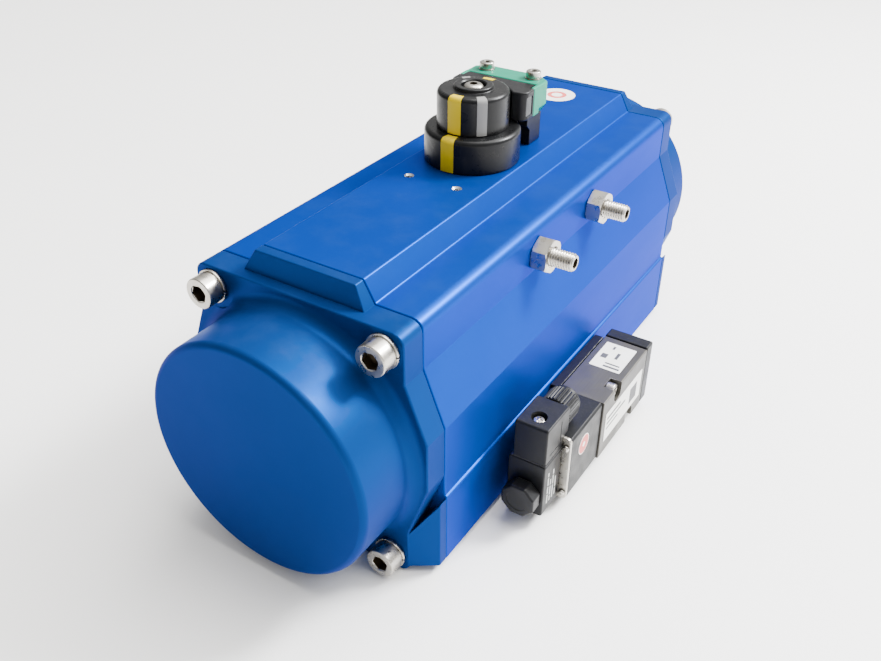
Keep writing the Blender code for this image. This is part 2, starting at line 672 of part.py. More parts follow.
def sensor():
    """Housing with two legs that straddles the puck's rear side, its cover and its two screws."""
    bm = bmesh.new()
    half = SENSOR_HALF
    front = arc((0, 0), PUCK_UPPER_RADIUS + 0.0016, 140, 40, 10)
    outline = [(half, SENSOR_JOINT), (-half, SENSOR_JOINT), (-half, 0.015)] + front + [(half, 0.015)]
    add_prism(bm, outline, SENSOR_BOTTOM, SENSOR_TOP)
    housing = make("sensor_housing", bm, (BLACK, 0.4))
    legs = bmesh.new()
    sole, shelf, top = TOP + GAP, COVER_BOTTOM - GAP, SENSOR_BOTTOM + 0.003
    outline = [(0.0310, sole), (0.0440, sole), (0.0440, shelf), (0.0305, shelf)]
    outline += [(0.0305, top), (0.0275, top), (0.0275, shelf - 0.004), (0.0310, shelf - 0.0075)]
    for x in (-ACCESSORY_X, ACCESSORY_X):
        add_prism(legs, outline, x - 0.0042, x + 0.0042, X)
    combine(housing, legs, "UNION")
    holes = bmesh.new()
    for side in (-1, 1):
        add_cylinder(holes, 0.0028, TOP - 0.001, SENSOR_TOP, Z, (side * ACCESSORY_X, ACCESSORY_Y, 0), 12)
    combine(housing, holes, "DIFFERENCE")
    shell = bmesh.new()
    start = SENSOR_JOINT + GAP
    outline = [(half, start), (half, 0.041), (half - 0.008, SENSOR_BACK)]
    outline += [(-half + 0.006, SENSOR_BACK), (-half, 0.042), (-half, start)]
    add_prism(shell, outline, COVER_BOTTOM, SENSOR_TOP)
    cover = make("sensor_cover", shell, ((0.05, 0.62, 0.45, 1), 0.4))
    holes = bmesh.new()
    for side in (-1, 1):
        centre = (side * ACCESSORY_X, ACCESSORY_Y, 0)
        add_cylinder(holes, 0.0028, COVER_BOTTOM - 0.001, SENSOR_TOP + 0.001, Z, centre, 12)
    combine(cover, holes, "DIFFERENCE")
    for side, x in (("left", -ACCESSORY_X), ("right", ACCESSORY_X)):
        length, seat = SENSOR_TOP - TOP + 0.007, SENSOR_TOP + GAP
        centre = (x, ACCESSORY_Y, 0)
        name = f"sensor_screw_{side}"
        socket_screw(name, 0.0043, 0.0040, 0.0022, length, 0.003, seat, Z, centre)


def namur_plate():
    bm = bmesh.new()
    low = (SIDE_PAD_HALF + GAP, VALVE_FRONT, VALVE_BOTTOM)
    add_box(bm, low, (VALVE_INNER - GAP, 0.029, VALVE_TOP))
    plate = make("namur_plate", bm, (BLACK, 0.4))
    combine(plate, valve_passages(0.072, 0.080), "DIFFERENCE")


def screw_places():
    return [(-PORT_Y, PORT_Z + NAMUR_SCREW_DROP), (PORT_Y, PORT_Z - NAMUR_SCREW_DROP)]


def valve_passages(start, end):
    """The two air ports and the two fixing holes through the valve's mounting side."""
    bm = bmesh.new()
    for y in (-PORT_Y, PORT_Y):
        add_cylinder(bm, 0.0045, start, end, X, (0, y, PORT_Z), 16)
    for y, z in screw_places():
        add_cylinder(bm, 0.0027, start, end, X, (0, y, z), 12)
    return bm


def valve_body():
    bm = bmesh.new()
    add_box(bm, (VALVE_INNER, VALVE_FRONT, VALVE_BOTTOM), (VALVE_OUTER, VALVE_REAR, VALVE_TOP))
    body = make("valve_body", bm, ((0.32, 0.32, 0.29, 1), 0.35, 0.8))
    bore = bmesh.new()
    add_cylinder(bore, 0.0072, VALVE_FRONT - 0.001, VALVE_REAR + 0.001, Y, (SPOOL_X, 0, PORT_Z), 16)
    combine(body, bore, "DIFFERENCE")
    ports = bmesh.new()
    for y in (-PORT_Y, PORT_Y):
        add_cylinder(ports, 0.0045, VALVE_INNER - 0.001, SPOOL_X - 0.002, X, (0, y, PORT_Z), 16)
    for y in (-0.0205, 0, 0.0205):
        add_cylinder(ports, 0.0058, VALVE_BOTTOM - 0.001, PORT_Z - 0.002, Z, (SPOOL_X, y, 0), 16)
    combine(body, ports, "DIFFERENCE")
    fixings = bmesh.new()
    hole = [(0, 0.078), (0.0027, 0.078), (0.0027, 0.0995)]
    hole += [(0.0048, 0.0995), (0.0048, 0.108), (0, 0.108)]
    for y, z in screw_places():
        add_turned(fixings, hole, X, (0, y, z), 16)
    combine(body, fixings, "DIFFERENCE")
    for level, (y, z) in zip(("upper", "lower"), screw_places()):
        name = f"valve_screw_{level}"
        socket_screw(name, 0.0043, 0.0050, 0.0023, 0.036, 0.004, 0.0998, X, (0, y, z))


def valve_rear_cap():
    bm = bmesh.new()
    low = (VALVE_INNER, VALVE_REAR + GAP, VALVE_BOTTOM - 0.0003)
    add_box(bm, low, (VALVE_OUTER, VALVE_CAP_REAR, VALVE_TOP + 0.0008))
    cap = make("valve_rear_cap", bm, (BLACK, 0.4))
    pocket = bmesh.new()
    centre = (SPOOL_X, 0, PORT_Z)
    add_cylinder(pocket, 0.0062, VALVE_REAR - 0.001, VALVE_REAR + 0.0058, Y, centre, 24)
    combine(cap, pocket, "DIFFERENCE")


def spool():
    """The sliding valve spool with three lands, and its return spring."""
    land, waist = 0.0069, 0.0042
    profile = [(0, -0.0275), (land, -0.0275), (land, -0.018), (waist, -0.0165)]
    profile += [(waist, -0.0075), (land, -0.006), (land, 0.006), (waist, 0.0075)]
    profile += [(waist, 0.0165), (land, 0.018), (land, 0.0245), (0, 0.0245)]
    bm = bmesh.new()
    centre = (SPOOL_X, 0, PORT_Z)
    add_turned(bm, profile, Y, centre, 16)
    make("valve_spool", bm, (ALUMINIUM, 0.3, 1.0), REAR, centre)
    low, high = 0.0245 + GAP, VALVE_REAR + 0.0058 - GAP
    helix_spring("spool_spring", 0.0048, 0.0005, 4, (low, high), centre, steps=8)


def pilot_block():
    bm = bmesh.new()
    low = (VALVE_INNER + 0.0004, PILOT_FRONT, VALVE_BOTTOM + 0.0005)
    add_box(bm, low, (VALVE_OUTER - 0.001, VALVE_FRONT - GAP, VALVE_TOP + 0.0005))
    block = make("pilot_block", bm, (BLACK, 0.4))
    seats = bmesh.new()
    coil, bore = (COIL_X, 0, COIL_Z), (SPOOL_X, 0, PORT_Z)
    add_cylinder(seats, 0.0056, PILOT_FRONT - 0.001, PILOT_FRONT + 0.004, Y, coil, 20)
    add_cylinder(seats, 0.0055, VALVE_FRONT - 0.010, VALVE_FRONT + 0.001, Y, bore, 20)
    for z in BRACKET_SCREW_Z:
        place = (BRACKET_SCREW_X, 0, z)
        add_cylinder(seats, 0.0013, PILOT_FRONT - 0.001, PILOT_FRONT + 0.010, Y, place, 10)
    combine(block, seats, "DIFFERENCE")


def coil_bracket():
    bm = bmesh.new()
    outline = rounded_box(0.0128, 0.0210, 0.002, 2, (0.0929, AXIS_Z - 0.0448))
    add_prism(bm, outline, BRACKET_FRONT, PILOT_FRONT - GAP, Y)
    bracket = make("coil_bracket", bm, (STEEL, 0.35, 1.0))
    holes = bmesh.new()
    coil = (COIL_X, 0, COIL_Z)
    add_cylinder(holes, 0.0056, BRACKET_FRONT - 0.001, PILOT_FRONT + 0.001, Y, coil, 20)
    for z in BRACKET_SCREW_Z:
        place = (BRACKET_SCREW_X, 0, z)
        add_cylinder(holes, 0.0013, BRACKET_FRONT - 0.001, PILOT_FRONT + 0.001, Y, place, 10)
    combine(bracket, holes, "DIFFERENCE")
    head = BRACKET_FRONT - GAP
    profile = [(0, head - 0.0014), (0.0013, head - 0.0014), (0.0019, head)]
    profile += [(0.0010, head), (0.0010, -0.061), (0, -0.061)]
    for level, z in zip(("upper", "lower"), BRACKET_SCREW_Z):
        screw = bmesh.new()
        add_turned(screw, profile, Y, (BRACKET_SCREW_X + 0.0002, 0, z), 10)
        make(f"bracket_screw_{level}", screw, (STEEL, 0.3, 1.0))


def solenoid():
    """The coil on its armature tube, the nut that holds it and the plunger inside."""
    centre = (COIL_X, 0, COIL_Z)
    bm = bmesh.new()
    half_x, half_z = (COIL_OUTER - COIL_INNER) / 2, (COIL_TOP - COIL_BOTTOM) / 2
    outline = rounded_box(half_x, half_z, 0.002, 2, (COIL_X, (COIL_TOP + COIL_BOTTOM) / 2))
    add_prism(bm, outline, COIL_FRONT, BRACKET_FRONT - GAP, Y)
    coil = make("solenoid_coil", bm, (BLACK, 0.35))
    hole = bmesh.new()
    add_cylinder(hole, 0.0056, COIL_FRONT - 0.001, BRACKET_FRONT + 0.001, Y, centre, 20)
    combine(coil, hole, "DIFFERENCE")
    tube = bmesh.new()
    profile = [(0, COIL_FRONT - 0.0060), (0.0052, COIL_FRONT - 0.0060), (0.0052, PILOT_FRONT + 0.0035)]
    profile += [(0.0038, PILOT_FRONT + 0.0035), (0.0038, COIL_FRONT + 0.004), (0, COIL_FRONT + 0.004)]
    add_turned(tube, profile, Y, centre, 20)
    make("armature_tube", tube, (STEEL, 0.3, 1.0))
    plunger = bmesh.new()
    add_cylinder(plunger, 0.0034, COIL_FRONT + 0.0060, PILOT_FRONT + 0.0020, Y, centre, 16)
    make("plunger", plunger, (STEEL, 0.3, 1.0), REAR, centre)
    nut = bmesh.new()
    add_cylinder(nut, 0.0100, COIL_FRONT - 0.0085, COIL_FRONT - GAP, Y, centre, 8)
    made = make("coil_nut", nut, (BLACK, 0.35))
    bore = bmesh.new()
    add_cylinder(bore, 0.0056, COIL_FRONT - 0.0064, COIL_FRONT + 0.001, Y, centre, 20)
    combine(made, bore, "DIFFERENCE")


def din_plug():
    """The square cable plug on the coil, with a screw from above and a cable gland to the rear."""
    middle_x = (PLUG_INNER + COIL_OUTER) / 2
    floor, step, shelf = COIL_TOP + GAP, BRACKET_FRONT - GAP, VALVE_TOP + 0.0026
    bm = bmesh.new()
    outline = [(COIL_FRONT, floor), (step, floor), (step, shelf), (PLUG_REAR, shelf)]
    outline += [(PLUG_REAR, PLUG_TOP), (COIL_FRONT, PLUG_TOP)]
    add_prism(bm, outline, PLUG_INNER, COIL_OUTER, X)
    plug = make("din_plug", bm, (BLACK, 0.3))
    gland = (middle_x, 0, GLAND_Z)
    neck = bmesh.new()
    add_cylinder(neck, 0.0070, PLUG_REAR - 0.004, PLUG_REAR + 0.010, Y, gland, 20)
    combine(plug, neck, "UNION")
    hollow = bmesh.new()
    add_cylinder(hollow, 0.0042, PLUG_REAR - 0.012, PLUG_REAR + 0.011, Y, gland, 16)
    screw_hole = [(0, COIL_TOP - 0.001), (0.0017, COIL_TOP - 0.001), (0.0017, PLUG_TOP - 0.004)]
    screw_hole += [(0.0040, PLUG_TOP - 0.004), (0.0040, PLUG_TOP + 0.001), (0, PLUG_TOP + 0.001)]
    add_turned(hollow, screw_hole, Z, (middle_x, -0.082, 0), 16)
    combine(plug, hollow, "DIFFERENCE")
    screw = bmesh.new()
    low, seat = COIL_TOP + 0.001, PLUG_TOP - 0.004 + GAP
    profile = [(0, low), (0.0013, low), (0.0013, seat), (0.0030, seat)]
    profile += [(0.0030, seat + 0.0022), (0, seat + 0.0022)]
    add_turned(screw, profile, Z, (middle_x, -0.082, 0), 12)
    make("plug_screw", screw, (STEEL, 0.3, 1.0))
    nut = bmesh.new()
    profile = [(0.0074, PLUG_REAR + GAP), (0.0095, PLUG_REAR + GAP), (0.0095, PLUG_REAR + 0.013)]
    profile += [(0.0085, PLUG_REAR + 0.015), (0.0040, PLUG_REAR + 0.015)]
    profile += [(0.0040, PLUG_REAR + 0.0104), (0.0074, PLUG_REAR + 0.0104)]
    add_turned(nut, profile[::-1], Y, gland, 16)
    make("gland_nut", nut, (BLACK, 0.4))


def main():
    clear_scene()
    body_extrusion()
    for end, turn in (("front", FRONT), ("rear", REAR)):
        end_cap(f"{end}_end_cap", turn)
        cap_seal(f"{end}_cap_seal", turn)
        piston(f"{end}_piston", turn)
        piston_trim(end, turn)
    cap_screws()
    bearings()
    pinion_shaft()
    stop_cam()
    circlip()
    return_springs()
    stop_bolts()
    indicator_puck()
    indicator_inserts()
    indicator_screw()
    sensor()
    namur_plate()
    valve_body()
    valve_rear_cap()
    spool()
    pilot_block()
    coil_bracket()
    solenoid()
    din_plug()


main()
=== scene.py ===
"""The actuator's visible shapes, materials, stage and camera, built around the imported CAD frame."""

import json
import math

import bmesh
import bpy
from mathutils import Matrix, Vector


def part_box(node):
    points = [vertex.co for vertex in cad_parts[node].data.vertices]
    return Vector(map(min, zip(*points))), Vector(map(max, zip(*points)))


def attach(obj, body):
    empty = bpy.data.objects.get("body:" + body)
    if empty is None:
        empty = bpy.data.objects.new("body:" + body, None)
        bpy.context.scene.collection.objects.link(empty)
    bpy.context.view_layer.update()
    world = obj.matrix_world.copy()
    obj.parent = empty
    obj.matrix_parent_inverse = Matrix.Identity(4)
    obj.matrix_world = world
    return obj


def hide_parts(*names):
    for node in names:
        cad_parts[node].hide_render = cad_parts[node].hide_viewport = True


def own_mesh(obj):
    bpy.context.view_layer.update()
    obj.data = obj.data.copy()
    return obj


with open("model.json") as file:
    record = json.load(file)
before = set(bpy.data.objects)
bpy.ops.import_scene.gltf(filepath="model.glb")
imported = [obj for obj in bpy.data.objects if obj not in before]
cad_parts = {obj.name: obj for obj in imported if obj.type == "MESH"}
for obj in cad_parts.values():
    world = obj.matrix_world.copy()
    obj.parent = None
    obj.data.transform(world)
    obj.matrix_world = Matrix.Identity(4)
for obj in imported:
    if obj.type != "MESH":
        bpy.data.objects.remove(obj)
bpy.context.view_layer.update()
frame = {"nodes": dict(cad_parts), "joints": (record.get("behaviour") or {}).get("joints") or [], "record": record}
record = frame["record"]
BODY_OF = {node: body for body, members in record["behaviour"]["bodies"].items() for node in members}
SLOT_OF = {part["node"]: part["material_slot"] for part in record["subparts"]}
AXES = "XYZ"
X, Y, Z = AXES

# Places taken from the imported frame.
BODY_LOW, BODY_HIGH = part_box("body_extrusion")
AXIS_Z = next(joint for joint in frame["joints"] if joint["name"] == "pinion_turn")["pos_m"][2]
TOP = BODY_HIGH.z
BODY_END = BODY_HIGH.y
CAP_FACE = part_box("rear_end_cap")[1].y
FLANGE_FACE = 0.155
CUP_RADIUS = 0.0643
BORE_RADIUS = 0.0625
CAP_SCREW_X = 0.0497
CAP_SCREW_Z = 0.0619
CAP_SCREW_PLACES = [
    (x, 0, AXIS_Z + z) for x in (-CAP_SCREW_X, CAP_SCREW_X) for z in (-CAP_SCREW_Z, CAP_SCREW_Z)
]


# ---------------------------------------------------------------- shapes

def arc(centre, radius, start, end, steps):
    """Points on an arc, with its angles in degrees."""
    points = []
    for step in range(steps + 1):
        angle = math.radians(start + (end - start) * step / steps)
        points.append((centre[0] + radius * math.cos(angle), centre[1] + radius * math.sin(angle)))
    return points


def soften(points, radius=0.0, steps=4, loop=True):
    """Rounds the corners of an outline. A point may carry its own radius as a third number."""
    made = []
    count = len(points)
    for k, point in enumerate(points):
        here = Vector(point[:2])
        own = point[2] if len(point) > 2 else radius
        if own <= 0 or (not loop and k in (0, count - 1)):
            made.append(tuple(here))
            continue
        before = Vector(points[k - 1][:2]) - here
        after = Vector(points[(k + 1) % count][:2]) - here
        half = before.angle(after) / 2
        if half > math.radians(88.5):
            made.append(tuple(here))
            continue
        reach = min(own / math.tan(half), 0.48 * before.length, 0.48 * after.length)
        own = reach * math.tan(half)
        start, end = before.normalized() * reach, after.normalized() * reach
        centre = (before.normalized() + after.normalized()).normalized() * (own / math.sin(half))
        one, two = start - centre, end - centre
        turn = one.angle_signed(two) if one.length > 0 else 0.0
        for step in range(steps + 1):
            angle = -turn * step / steps
            spun = Matrix.Rotation(angle, 2) @ one
            made.append(tuple(here + centre + spun))
    return made


def inset(outline, distance):
    """Moves each side of a closed outline inwards."""
    points = [Vector(point) for point in outline]
    area = sum(a.x * b.y - b.x * a.y for a, b in zip(points, points[1:] + points[:1]))
    side = 1 if area > 0 else -1
    made = []
    for k, here in enumerate(points):
        one = (here - points[k - 1]).normalized()
        two = (points[(k + 1) % len(points)] - here).normalized()
        normal_one, normal_two = Vector((-one.y, one.x)) * side, Vector((-two.y, two.x)) * side
        spread = max(1 + normal_one.dot(normal_two), 0.3)
        made.append(tuple(here + (normal_one + normal_two) / spread * distance))
    return made


def mirrored(points):
    """A closed outline from its right half, listed from top to bottom."""
    return points + [(-point[0], *point[1:]) for point in reversed(points)]


def spot(axis, a, b, height, centre=(0, 0, 0)):
    """A point at (a, b) across an axis and at a height along it."""
    if axis == X:
        point = (height, a, b)
    elif axis == Y:
        point = (a, height, b)
    else:
        point = (a, b, height)
    return Vector(point) + Vector(centre)


def skin(rings, loop=False):
    """Joins rings of points into a closed surface. A ring of one point makes a tip."""
    verts, starts, faces = [], [], []
    for ring in rings:
        starts.append((len(verts), len(ring)))
        verts += ring
    for (a, count_a), (b, count_b) in zip(starts, starts[1:] + (starts[:1] if loop else [])):
        most = max(count_a, count_b)
        for k in range(most):
            after = (k + 1) % most
            if count_a == 1:
                faces.append((a, b + after, b + k))
            elif count_b == 1:
                faces.append((a + k, a + after, b))
            else:
                faces.append((a + k, a + after, b + after, b + k))
    if not loop:
        for start, count in (starts[0], starts[-1]):
            if count > 1:
                faces.append(tuple(range(start, start + count)))
    return verts, faces


def turned(profile, axis=Z, centre=(0, 0, 0), steps=64, flip=False):
    """A solid of revolution from (radius, height) points. A profile off the axis makes a ring."""
    rings = []
    for radius, height in profile:
        height = -height if flip else height
        if radius <= 0:
            rings.append([spot(axis, 0, 0, height, centre)])
            continue
        circle = arc((0, 0), radius, 0, 360 - 360 / steps, steps - 1)
        rings.append([spot(axis, a, b, height, centre) for a, b in circle])
    return skin(rings, loop=profile[0][0] > 0)


def rod(radius, low, high, axis=Z, centre=(0, 0, 0), steps=48, edge=0.0, flip=False):
    profile = [(0, low), (radius, low, edge), (radius, high, edge), (0, high)]
    return turned(soften(profile, 0, 3, loop=False), axis, centre, steps, flip)


def prism(outline, low, high, axis=Z, edge=0.0, steps=3, centre=(0, 0, 0), flip=False):
    """An outline pulled along an axis, with both of its ends rounded."""
    sections = [(0.0, low), (0.0, high)]
    if edge > 0:
        turns = [math.pi / 2 * step / steps for step in range(steps + 1)]
        start = [(edge * (1 - math.sin(a)), low + edge * (1 - math.cos(a))) for a in turns]
        end = [(distance, low + high - height) for distance, height in reversed(start)]
        sections = start + end
    rings = []
    for distance, height in sections:
        moved = inset(outline, distance) if distance > 1e-9 else outline
        rings.append([spot(axis, a, b, -height if flip else height, centre) for a, b in moved])
    return skin(rings)


def rectangle(low, high, radius, steps=4):
    corners = [(low[0], low[1]), (high[0], low[1]), (high[0], high[1]), (low[0], high[1])]
    return soften(corners, radius, steps)


def block(low, high, radius=0.001, axis=Z, edge=None):
    """A box with round edges: radius is for the corners across the axis, and edge for the two ends."""
    across = {X: (1, 2, 0), Y: (0, 2, 1), Z: (0, 1, 2)}[axis]
    a, b, h = across
    outline = rectangle((low[a], low[b]), (high[a], high[b]), radius)
    return prism(outline, low[h], high[h], axis, radius if edge is None else edge)


def crossed_slots(length, width, radius, depth, top, axis, centre, flip=False):
    """Two slots at right angles in a small screw's head. The length and width are half sizes."""
    return [
        prism(rectangle((-a, -b), (a, b), radius), top - depth, top + 0.001, axis, 0, 3, centre, flip)
        for a, b in ((length, width), (width, length))
    ]


def hexagon(flats, turn=0.0):
    return arc((0, 0), flats / math.sqrt(3), turn, turn + 300, 5)


def ribbed(radius, depth, count):
    """A ring of rounded ribs."""
    points = []
    for k in range(count * 6):
        wave = max(-0.4, math.cos(math.tau * k / 6))
        angle = math.tau * k / (count * 6)
        own = radius - depth * (1 - wave) / 1.4
        points.append((own * math.cos(angle), own * math.sin(angle)))
    return points


def thread(radius, depth, pitch, low, high, axis, centre, steps=36, chamfer=0.0008, per_turn=8):
    """A screw thread with a chamfered free end at high."""
    rows = int((high - low) / pitch * per_turn)
    rings = []
    for row in range(rows + 1):
        height = low + (high - low) * row / rows
        limit = radius - max(0.0, height - (high - chamfer))
        ring = []
        for step in range(steps):
            phase = (height / pitch - step / steps) % 1.0
            tooth = min(1.0, max(0.0, abs(phase - 0.5) * 2.6 - 0.15))
            own = min(limit, radius - depth * tooth)
            angle = math.tau * step / steps
            ring.append(spot(axis, own * math.cos(angle), own * math.sin(angle), height, centre))
        rings.append(ring)
    return skin(rings)


def merge(*shapes):
    verts, faces = [], []
    for some_verts, some_faces in shapes:
        base = len(verts)
        verts += some_verts
        faces += [tuple(k + base for k in face) for face in some_faces]
    return verts, faces


def hull(points, edge):
    """The convex hull of some points with rounded edges."""
    bm = bmesh.new()
    for point in points:
        bm.verts.new(point)
    bmesh.ops.convex_hull(bm, input=bm.verts)
    bmesh.ops.dissolve_limit(bm, angle_limit=math.radians(1), verts=bm.verts, edges=bm.edges)
    bmesh.ops.bevel(bm, geom=list(bm.edges), offset=edge, segments=3, profile=0.5, affect="EDGES")
    bm.verts.index_update()
    made = [vert.co.copy() for vert in bm.verts], [tuple(v.index for v in face.verts) for face in bm.faces]
    bm.free()
    return made


# ---------------------------------------------------------------- pieces

def mesh_object(name, shape, look):
    bm = bmesh.new()
    verts = [bm.verts.new(point) for point in shape[0]]
    for face in shape[1]:
        bm.faces.new([verts[k] for k in face])
    bmesh.ops.recalc_face_normals(bm, faces=bm.faces)
    mesh = bpy.data.meshes.new(name)
    bm.to_mesh(mesh)
    bm.free()
    mesh.materials.append(look)
    obj = bpy.data.objects.new(name, mesh)
    bpy.context.scene.collection.objects.link(obj)
    return obj


def settle(obj):
    """Applies the object's modifiers."""
    graph = bpy.context.evaluated_depsgraph_get()
    mesh = bpy.data.meshes.new_from_object(obj.evaluated_get(graph), depsgraph=graph)
    obj.modifiers.clear()
    old, obj.data = obj.data, mesh
    bpy.data.meshes.remove(old)


def combine(obj, shape, look=None, operation="DIFFERENCE"):
    """Cuts a shape from the object, or joins it on. The new faces take the given look."""
    helper = mesh_object(obj.name + "_helper", shape, look or obj.data.materials[0])
    modifier = obj.modifiers.new("combine", "BOOLEAN")
    modifier.operation = operation
    modifier.object = helper
    modifier.solver = "EXACT"
    modifier.material_mode = "TRANSFER"
    settle(obj)
    old = helper.data
    bpy.data.objects.remove(helper)
    bpy.data.meshes.remove(old)


def smooth(obj, angle=35):
    mesh = obj.data
    mesh.shade_smooth()
    mesh.set_sharp_from_angle(angle=math.radians(angle))
    modifier = obj.modifiers.new("normals", "WEIGHTED_NORMAL")
    modifier.keep_sharp = True
    modifier.weight = 80
    settle(obj)


def piece(name, shape, look, node=None, body="housing", cuts=(), joins=(), trims=(), angle=35):
    """A visible piece. With a node it replaces that CAD node and rides on its body."""
    obj = mesh_object(name, shape, look)
    for part in trims:
        combine(obj, part, None, "INTERSECT")
    for part in joins:
        combine(obj, part, None, "UNION")
    for part in cuts:
        combine(obj, *(part if isinstance(part[0], tuple) else (part,)))
    if len(obj.data.polygons) < 6:
        raise ValueError(name + " came out empty")
    smooth(obj, angle)
    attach(obj, BODY_OF[node] if node else body)
    if node:
        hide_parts(node)
    return obj


# ---------------------------------------------------------------- materials

def new_material(name, **values):
    made = bpy.data.materials.new(name)
    made.use_nodes = True
    tree = made.node_tree
    shader = tree.nodes["Principled BSDF"]
    for key, value in values.items():
        shader.inputs[key.replace("_", " ")].default_value = value
    return made, tree, shader


def add(tree, kind, inputs, **settings):
    made = tree.nodes.new("ShaderNode" + kind)
    for key, value in settings.items():
        setattr(made, key, value)
    for key, value in inputs.items():
        socket = made.inputs[key]
        if isinstance(value, bpy.types.NodeSocket):
            tree.links.new(value, socket)
        else:
            socket.default_value = value
    return made


def noise(tree, scale, detail=3.0, rough=0.5, stretch=(1, 1, 1)):
    """Noise in the object's own space, as a value from 0 to 1. Scale is in waves per metre."""
    place = add(tree, "TexCoord", {}).outputs["Object"]
    place = add(tree, "Mapping", {"Vector": place, "Scale": stretch}).outputs["Vector"]
    made = add(tree, "TexNoise", {"Vector": place, "Scale": scale, "Detail": detail, "Roughness": rough})
    return made.outputs["Fac"]


def span(tree, value, low, high, to_low=0.0, to_high=1.0):
    inputs = {"Value": value, "From Min": low, "From Max": high, "To Min": to_low, "To Max": to_high}
    return add(tree, "MapRange", inputs).outputs["Result"]


def maths(tree, operation, one, two):
    made = add(tree, "Math", {0: one, 1: two}, operation=operation)
    made.use_clamp = operation in ("ADD", "MULTIPLY")
    return made.outputs["Value"]


def blend(tree, amount, one, two):
    return add(tree, "Mix", {0: amount, 6: one, 7: two}, data_type="RGBA").outputs[2]


def bump(tree, shader, *layers):
    """Each layer is (height, strength, distance in metres)."""
    normal = None
    for height, strength, distance in layers:
        inputs = {"Height": height, "Strength": strength, "Distance": distance}
        if normal:
            inputs["Normal"] = normal
        normal = add(tree, "Bump", inputs).outputs["Normal"]
    tree.links.new(normal, shader.inputs["Normal"])


def facing_up(tree):
    normal = add(tree, "NewGeometry", {}).outputs["Normal"]
    height = add(tree, "SeparateXYZ", {"Vector": normal}).outputs["Z"]
    return span(tree, height, 0.3, 0.95)


def edges(tree, radius):
    """1 on outer and inner edges, 0 on flat areas."""
    flat = add(tree, "NewGeometry", {}).outputs["Normal"]
    round_one = add(tree, "Bevel", {"Radius": radius}, samples=4).outputs["Normal"]
    match = add(tree, "VectorMath", {0: flat, 1: round_one}, operation="DOT_PRODUCT").outputs["Value"]
    return span(tree, match, 0.98, 0.82)


def coating(name, colour, pale, roughness, peel, shine):
    """Blue powder coat: orange peel, fine grain, handling marks, and paler edges that are partly wear and partly a
    painted highlight where the ridges catch light.
    """
    made, tree, shader = new_material(name, Metallic=shine, Roughness=roughness, Specular_IOR_Level=0.04)
    shader.inputs["Specular Tint"].default_value = (0.04, 0.28, 0.85, 1)
    cloud = noise(tree, 14, 4)
    tone = blend(tree, span(tree, cloud, 0.3, 0.7), colour, [c * 0.93 for c in colour[:3]] + [1])
    grain = noise(tree, 1900, 2)
    tone = blend(tree, span(tree, grain, 0.62, 0.78, 0, 0.10), tone, pale)
    # Paler edges: partly wear, partly a painted highlight along the ridges.
    worn = maths(tree, "MULTIPLY", edges(tree, 0.0007), span(tree, noise(tree, 160, 5), 0.42, 0.62))
    tone = blend(tree, maths(tree, "MULTIPLY", worn, 0.45), tone, pale)
    dust = maths(tree, "MULTIPLY", facing_up(tree), span(tree, noise(tree, 60, 6, 0.65), 0.45, 0.8, 0, 0.04))
    tone = blend(tree, dust, tone, (0.20, 0.30, 0.46, 1))
    tree.links.new(tone, shader.inputs["Base Color"])
    smear = span(tree, noise(tree, 30, 5, 0.6, (1, 0.35, 1)), 0.3, 0.75, roughness - 0.02, roughness + 0.05)
    tree.links.new(smear, shader.inputs["Roughness"])
    bump(tree, shader, (noise(tree, 420, 2), peel, 0.00012), (grain, 0.12, 0.00005))
    return made


def metal(name, colour, roughness, stain=(0.42, 0.34, 0.22, 1), stretch=(1, 1, 1), lines=0.2):
    """Bare metal: tool lines, stains and uneven gloss."""
    made, tree, shader = new_material(name, Metallic=1.0, Roughness=roughness)
    tone = blend(tree, span(tree, noise(tree, 170, 4), 0.50, 0.80, 0, 0.35), colour, stain)
    tree.links.new(tone, shader.inputs["Base Color"])
    fine = noise(tree, 2600, 2, 0.5, stretch)
    uneven = span(tree, noise(tree, 240, 4, 0.6), 0.3, 0.75, roughness * 0.75, roughness * 1.5)
    tree.links.new(uneven, shader.inputs["Roughness"])
    bump(tree, shader, (fine, lines, 0.00004))
    return made


def plastic(name, colour, roughness, grain=0.25, dust=0.12, worn=0.25):
    """Moulded plastic: fine texture, rubbed edges and a little dust on its upper faces."""
    made, tree, shader = new_material(name, Roughness=roughness, Specular_IOR_Level=0.18)
    lighter = [c * 0.8 + 0.06 for c in colour[:3]] + [1]
    rubbed = maths(
        tree, "MULTIPLY", edges(tree, 0.0006), span(tree, noise(tree, 300, 4), 0.35, 0.65, 0, worn)
    )
    tone = blend(tree, rubbed, colour, lighter)
    specks = span(tree, noise(tree, 700, 5, 0.7), 0.50, 0.75, 0, dust)
    tone = blend(tree, maths(tree, "MULTIPLY", facing_up(tree), specks), tone, (0.20, 0.195, 0.18, 1))
    tree.links.new(tone, shader.inputs["Base Color"])
    uneven = span(tree, noise(tree, 130, 4), 0.3, 0.7, roughness - 0.06, roughness + 0.08)
    tree.links.new(uneven, shader.inputs["Roughness"])
    bump(tree, shader, (noise(tree, 3200, 2), grain, 0.00004))
    return made


def anodised(name, colour, roughness, stretch=(1, 0.02, 1)):
    """Anodised extrusion: fine lines along its length and a dull metal sheen."""
    made, tree, shader = new_material(name, Metallic=0.75, Roughness=roughness)
    lines = noise(tree, 1800, 2, 0.5, stretch)
    paler = [min(1, c * 1.35) for c in colour[:3]] + [1]
    tone = blend(tree, span(tree, lines, 0.3, 0.75, 0, 0.45), colour, paler)
    worn = maths(tree, "MULTIPLY", edges(tree, 0.0005), span(tree, noise(tree, 220, 4), 0.4, 0.6, 0, 0.6))
    tone = blend(tree, worn, tone, (0.75, 0.74, 0.71, 1))
    tree.links.new(tone, shader.inputs["Base Color"])
    uneven = span(tree, noise(tree, 90, 4), 0.3, 0.7, roughness - 0.06, roughness + 0.08)
    tree.links.new(uneven, shader.inputs["Roughness"])
    bump(tree, shader, (lines, 0.25, 0.00003))
    return made


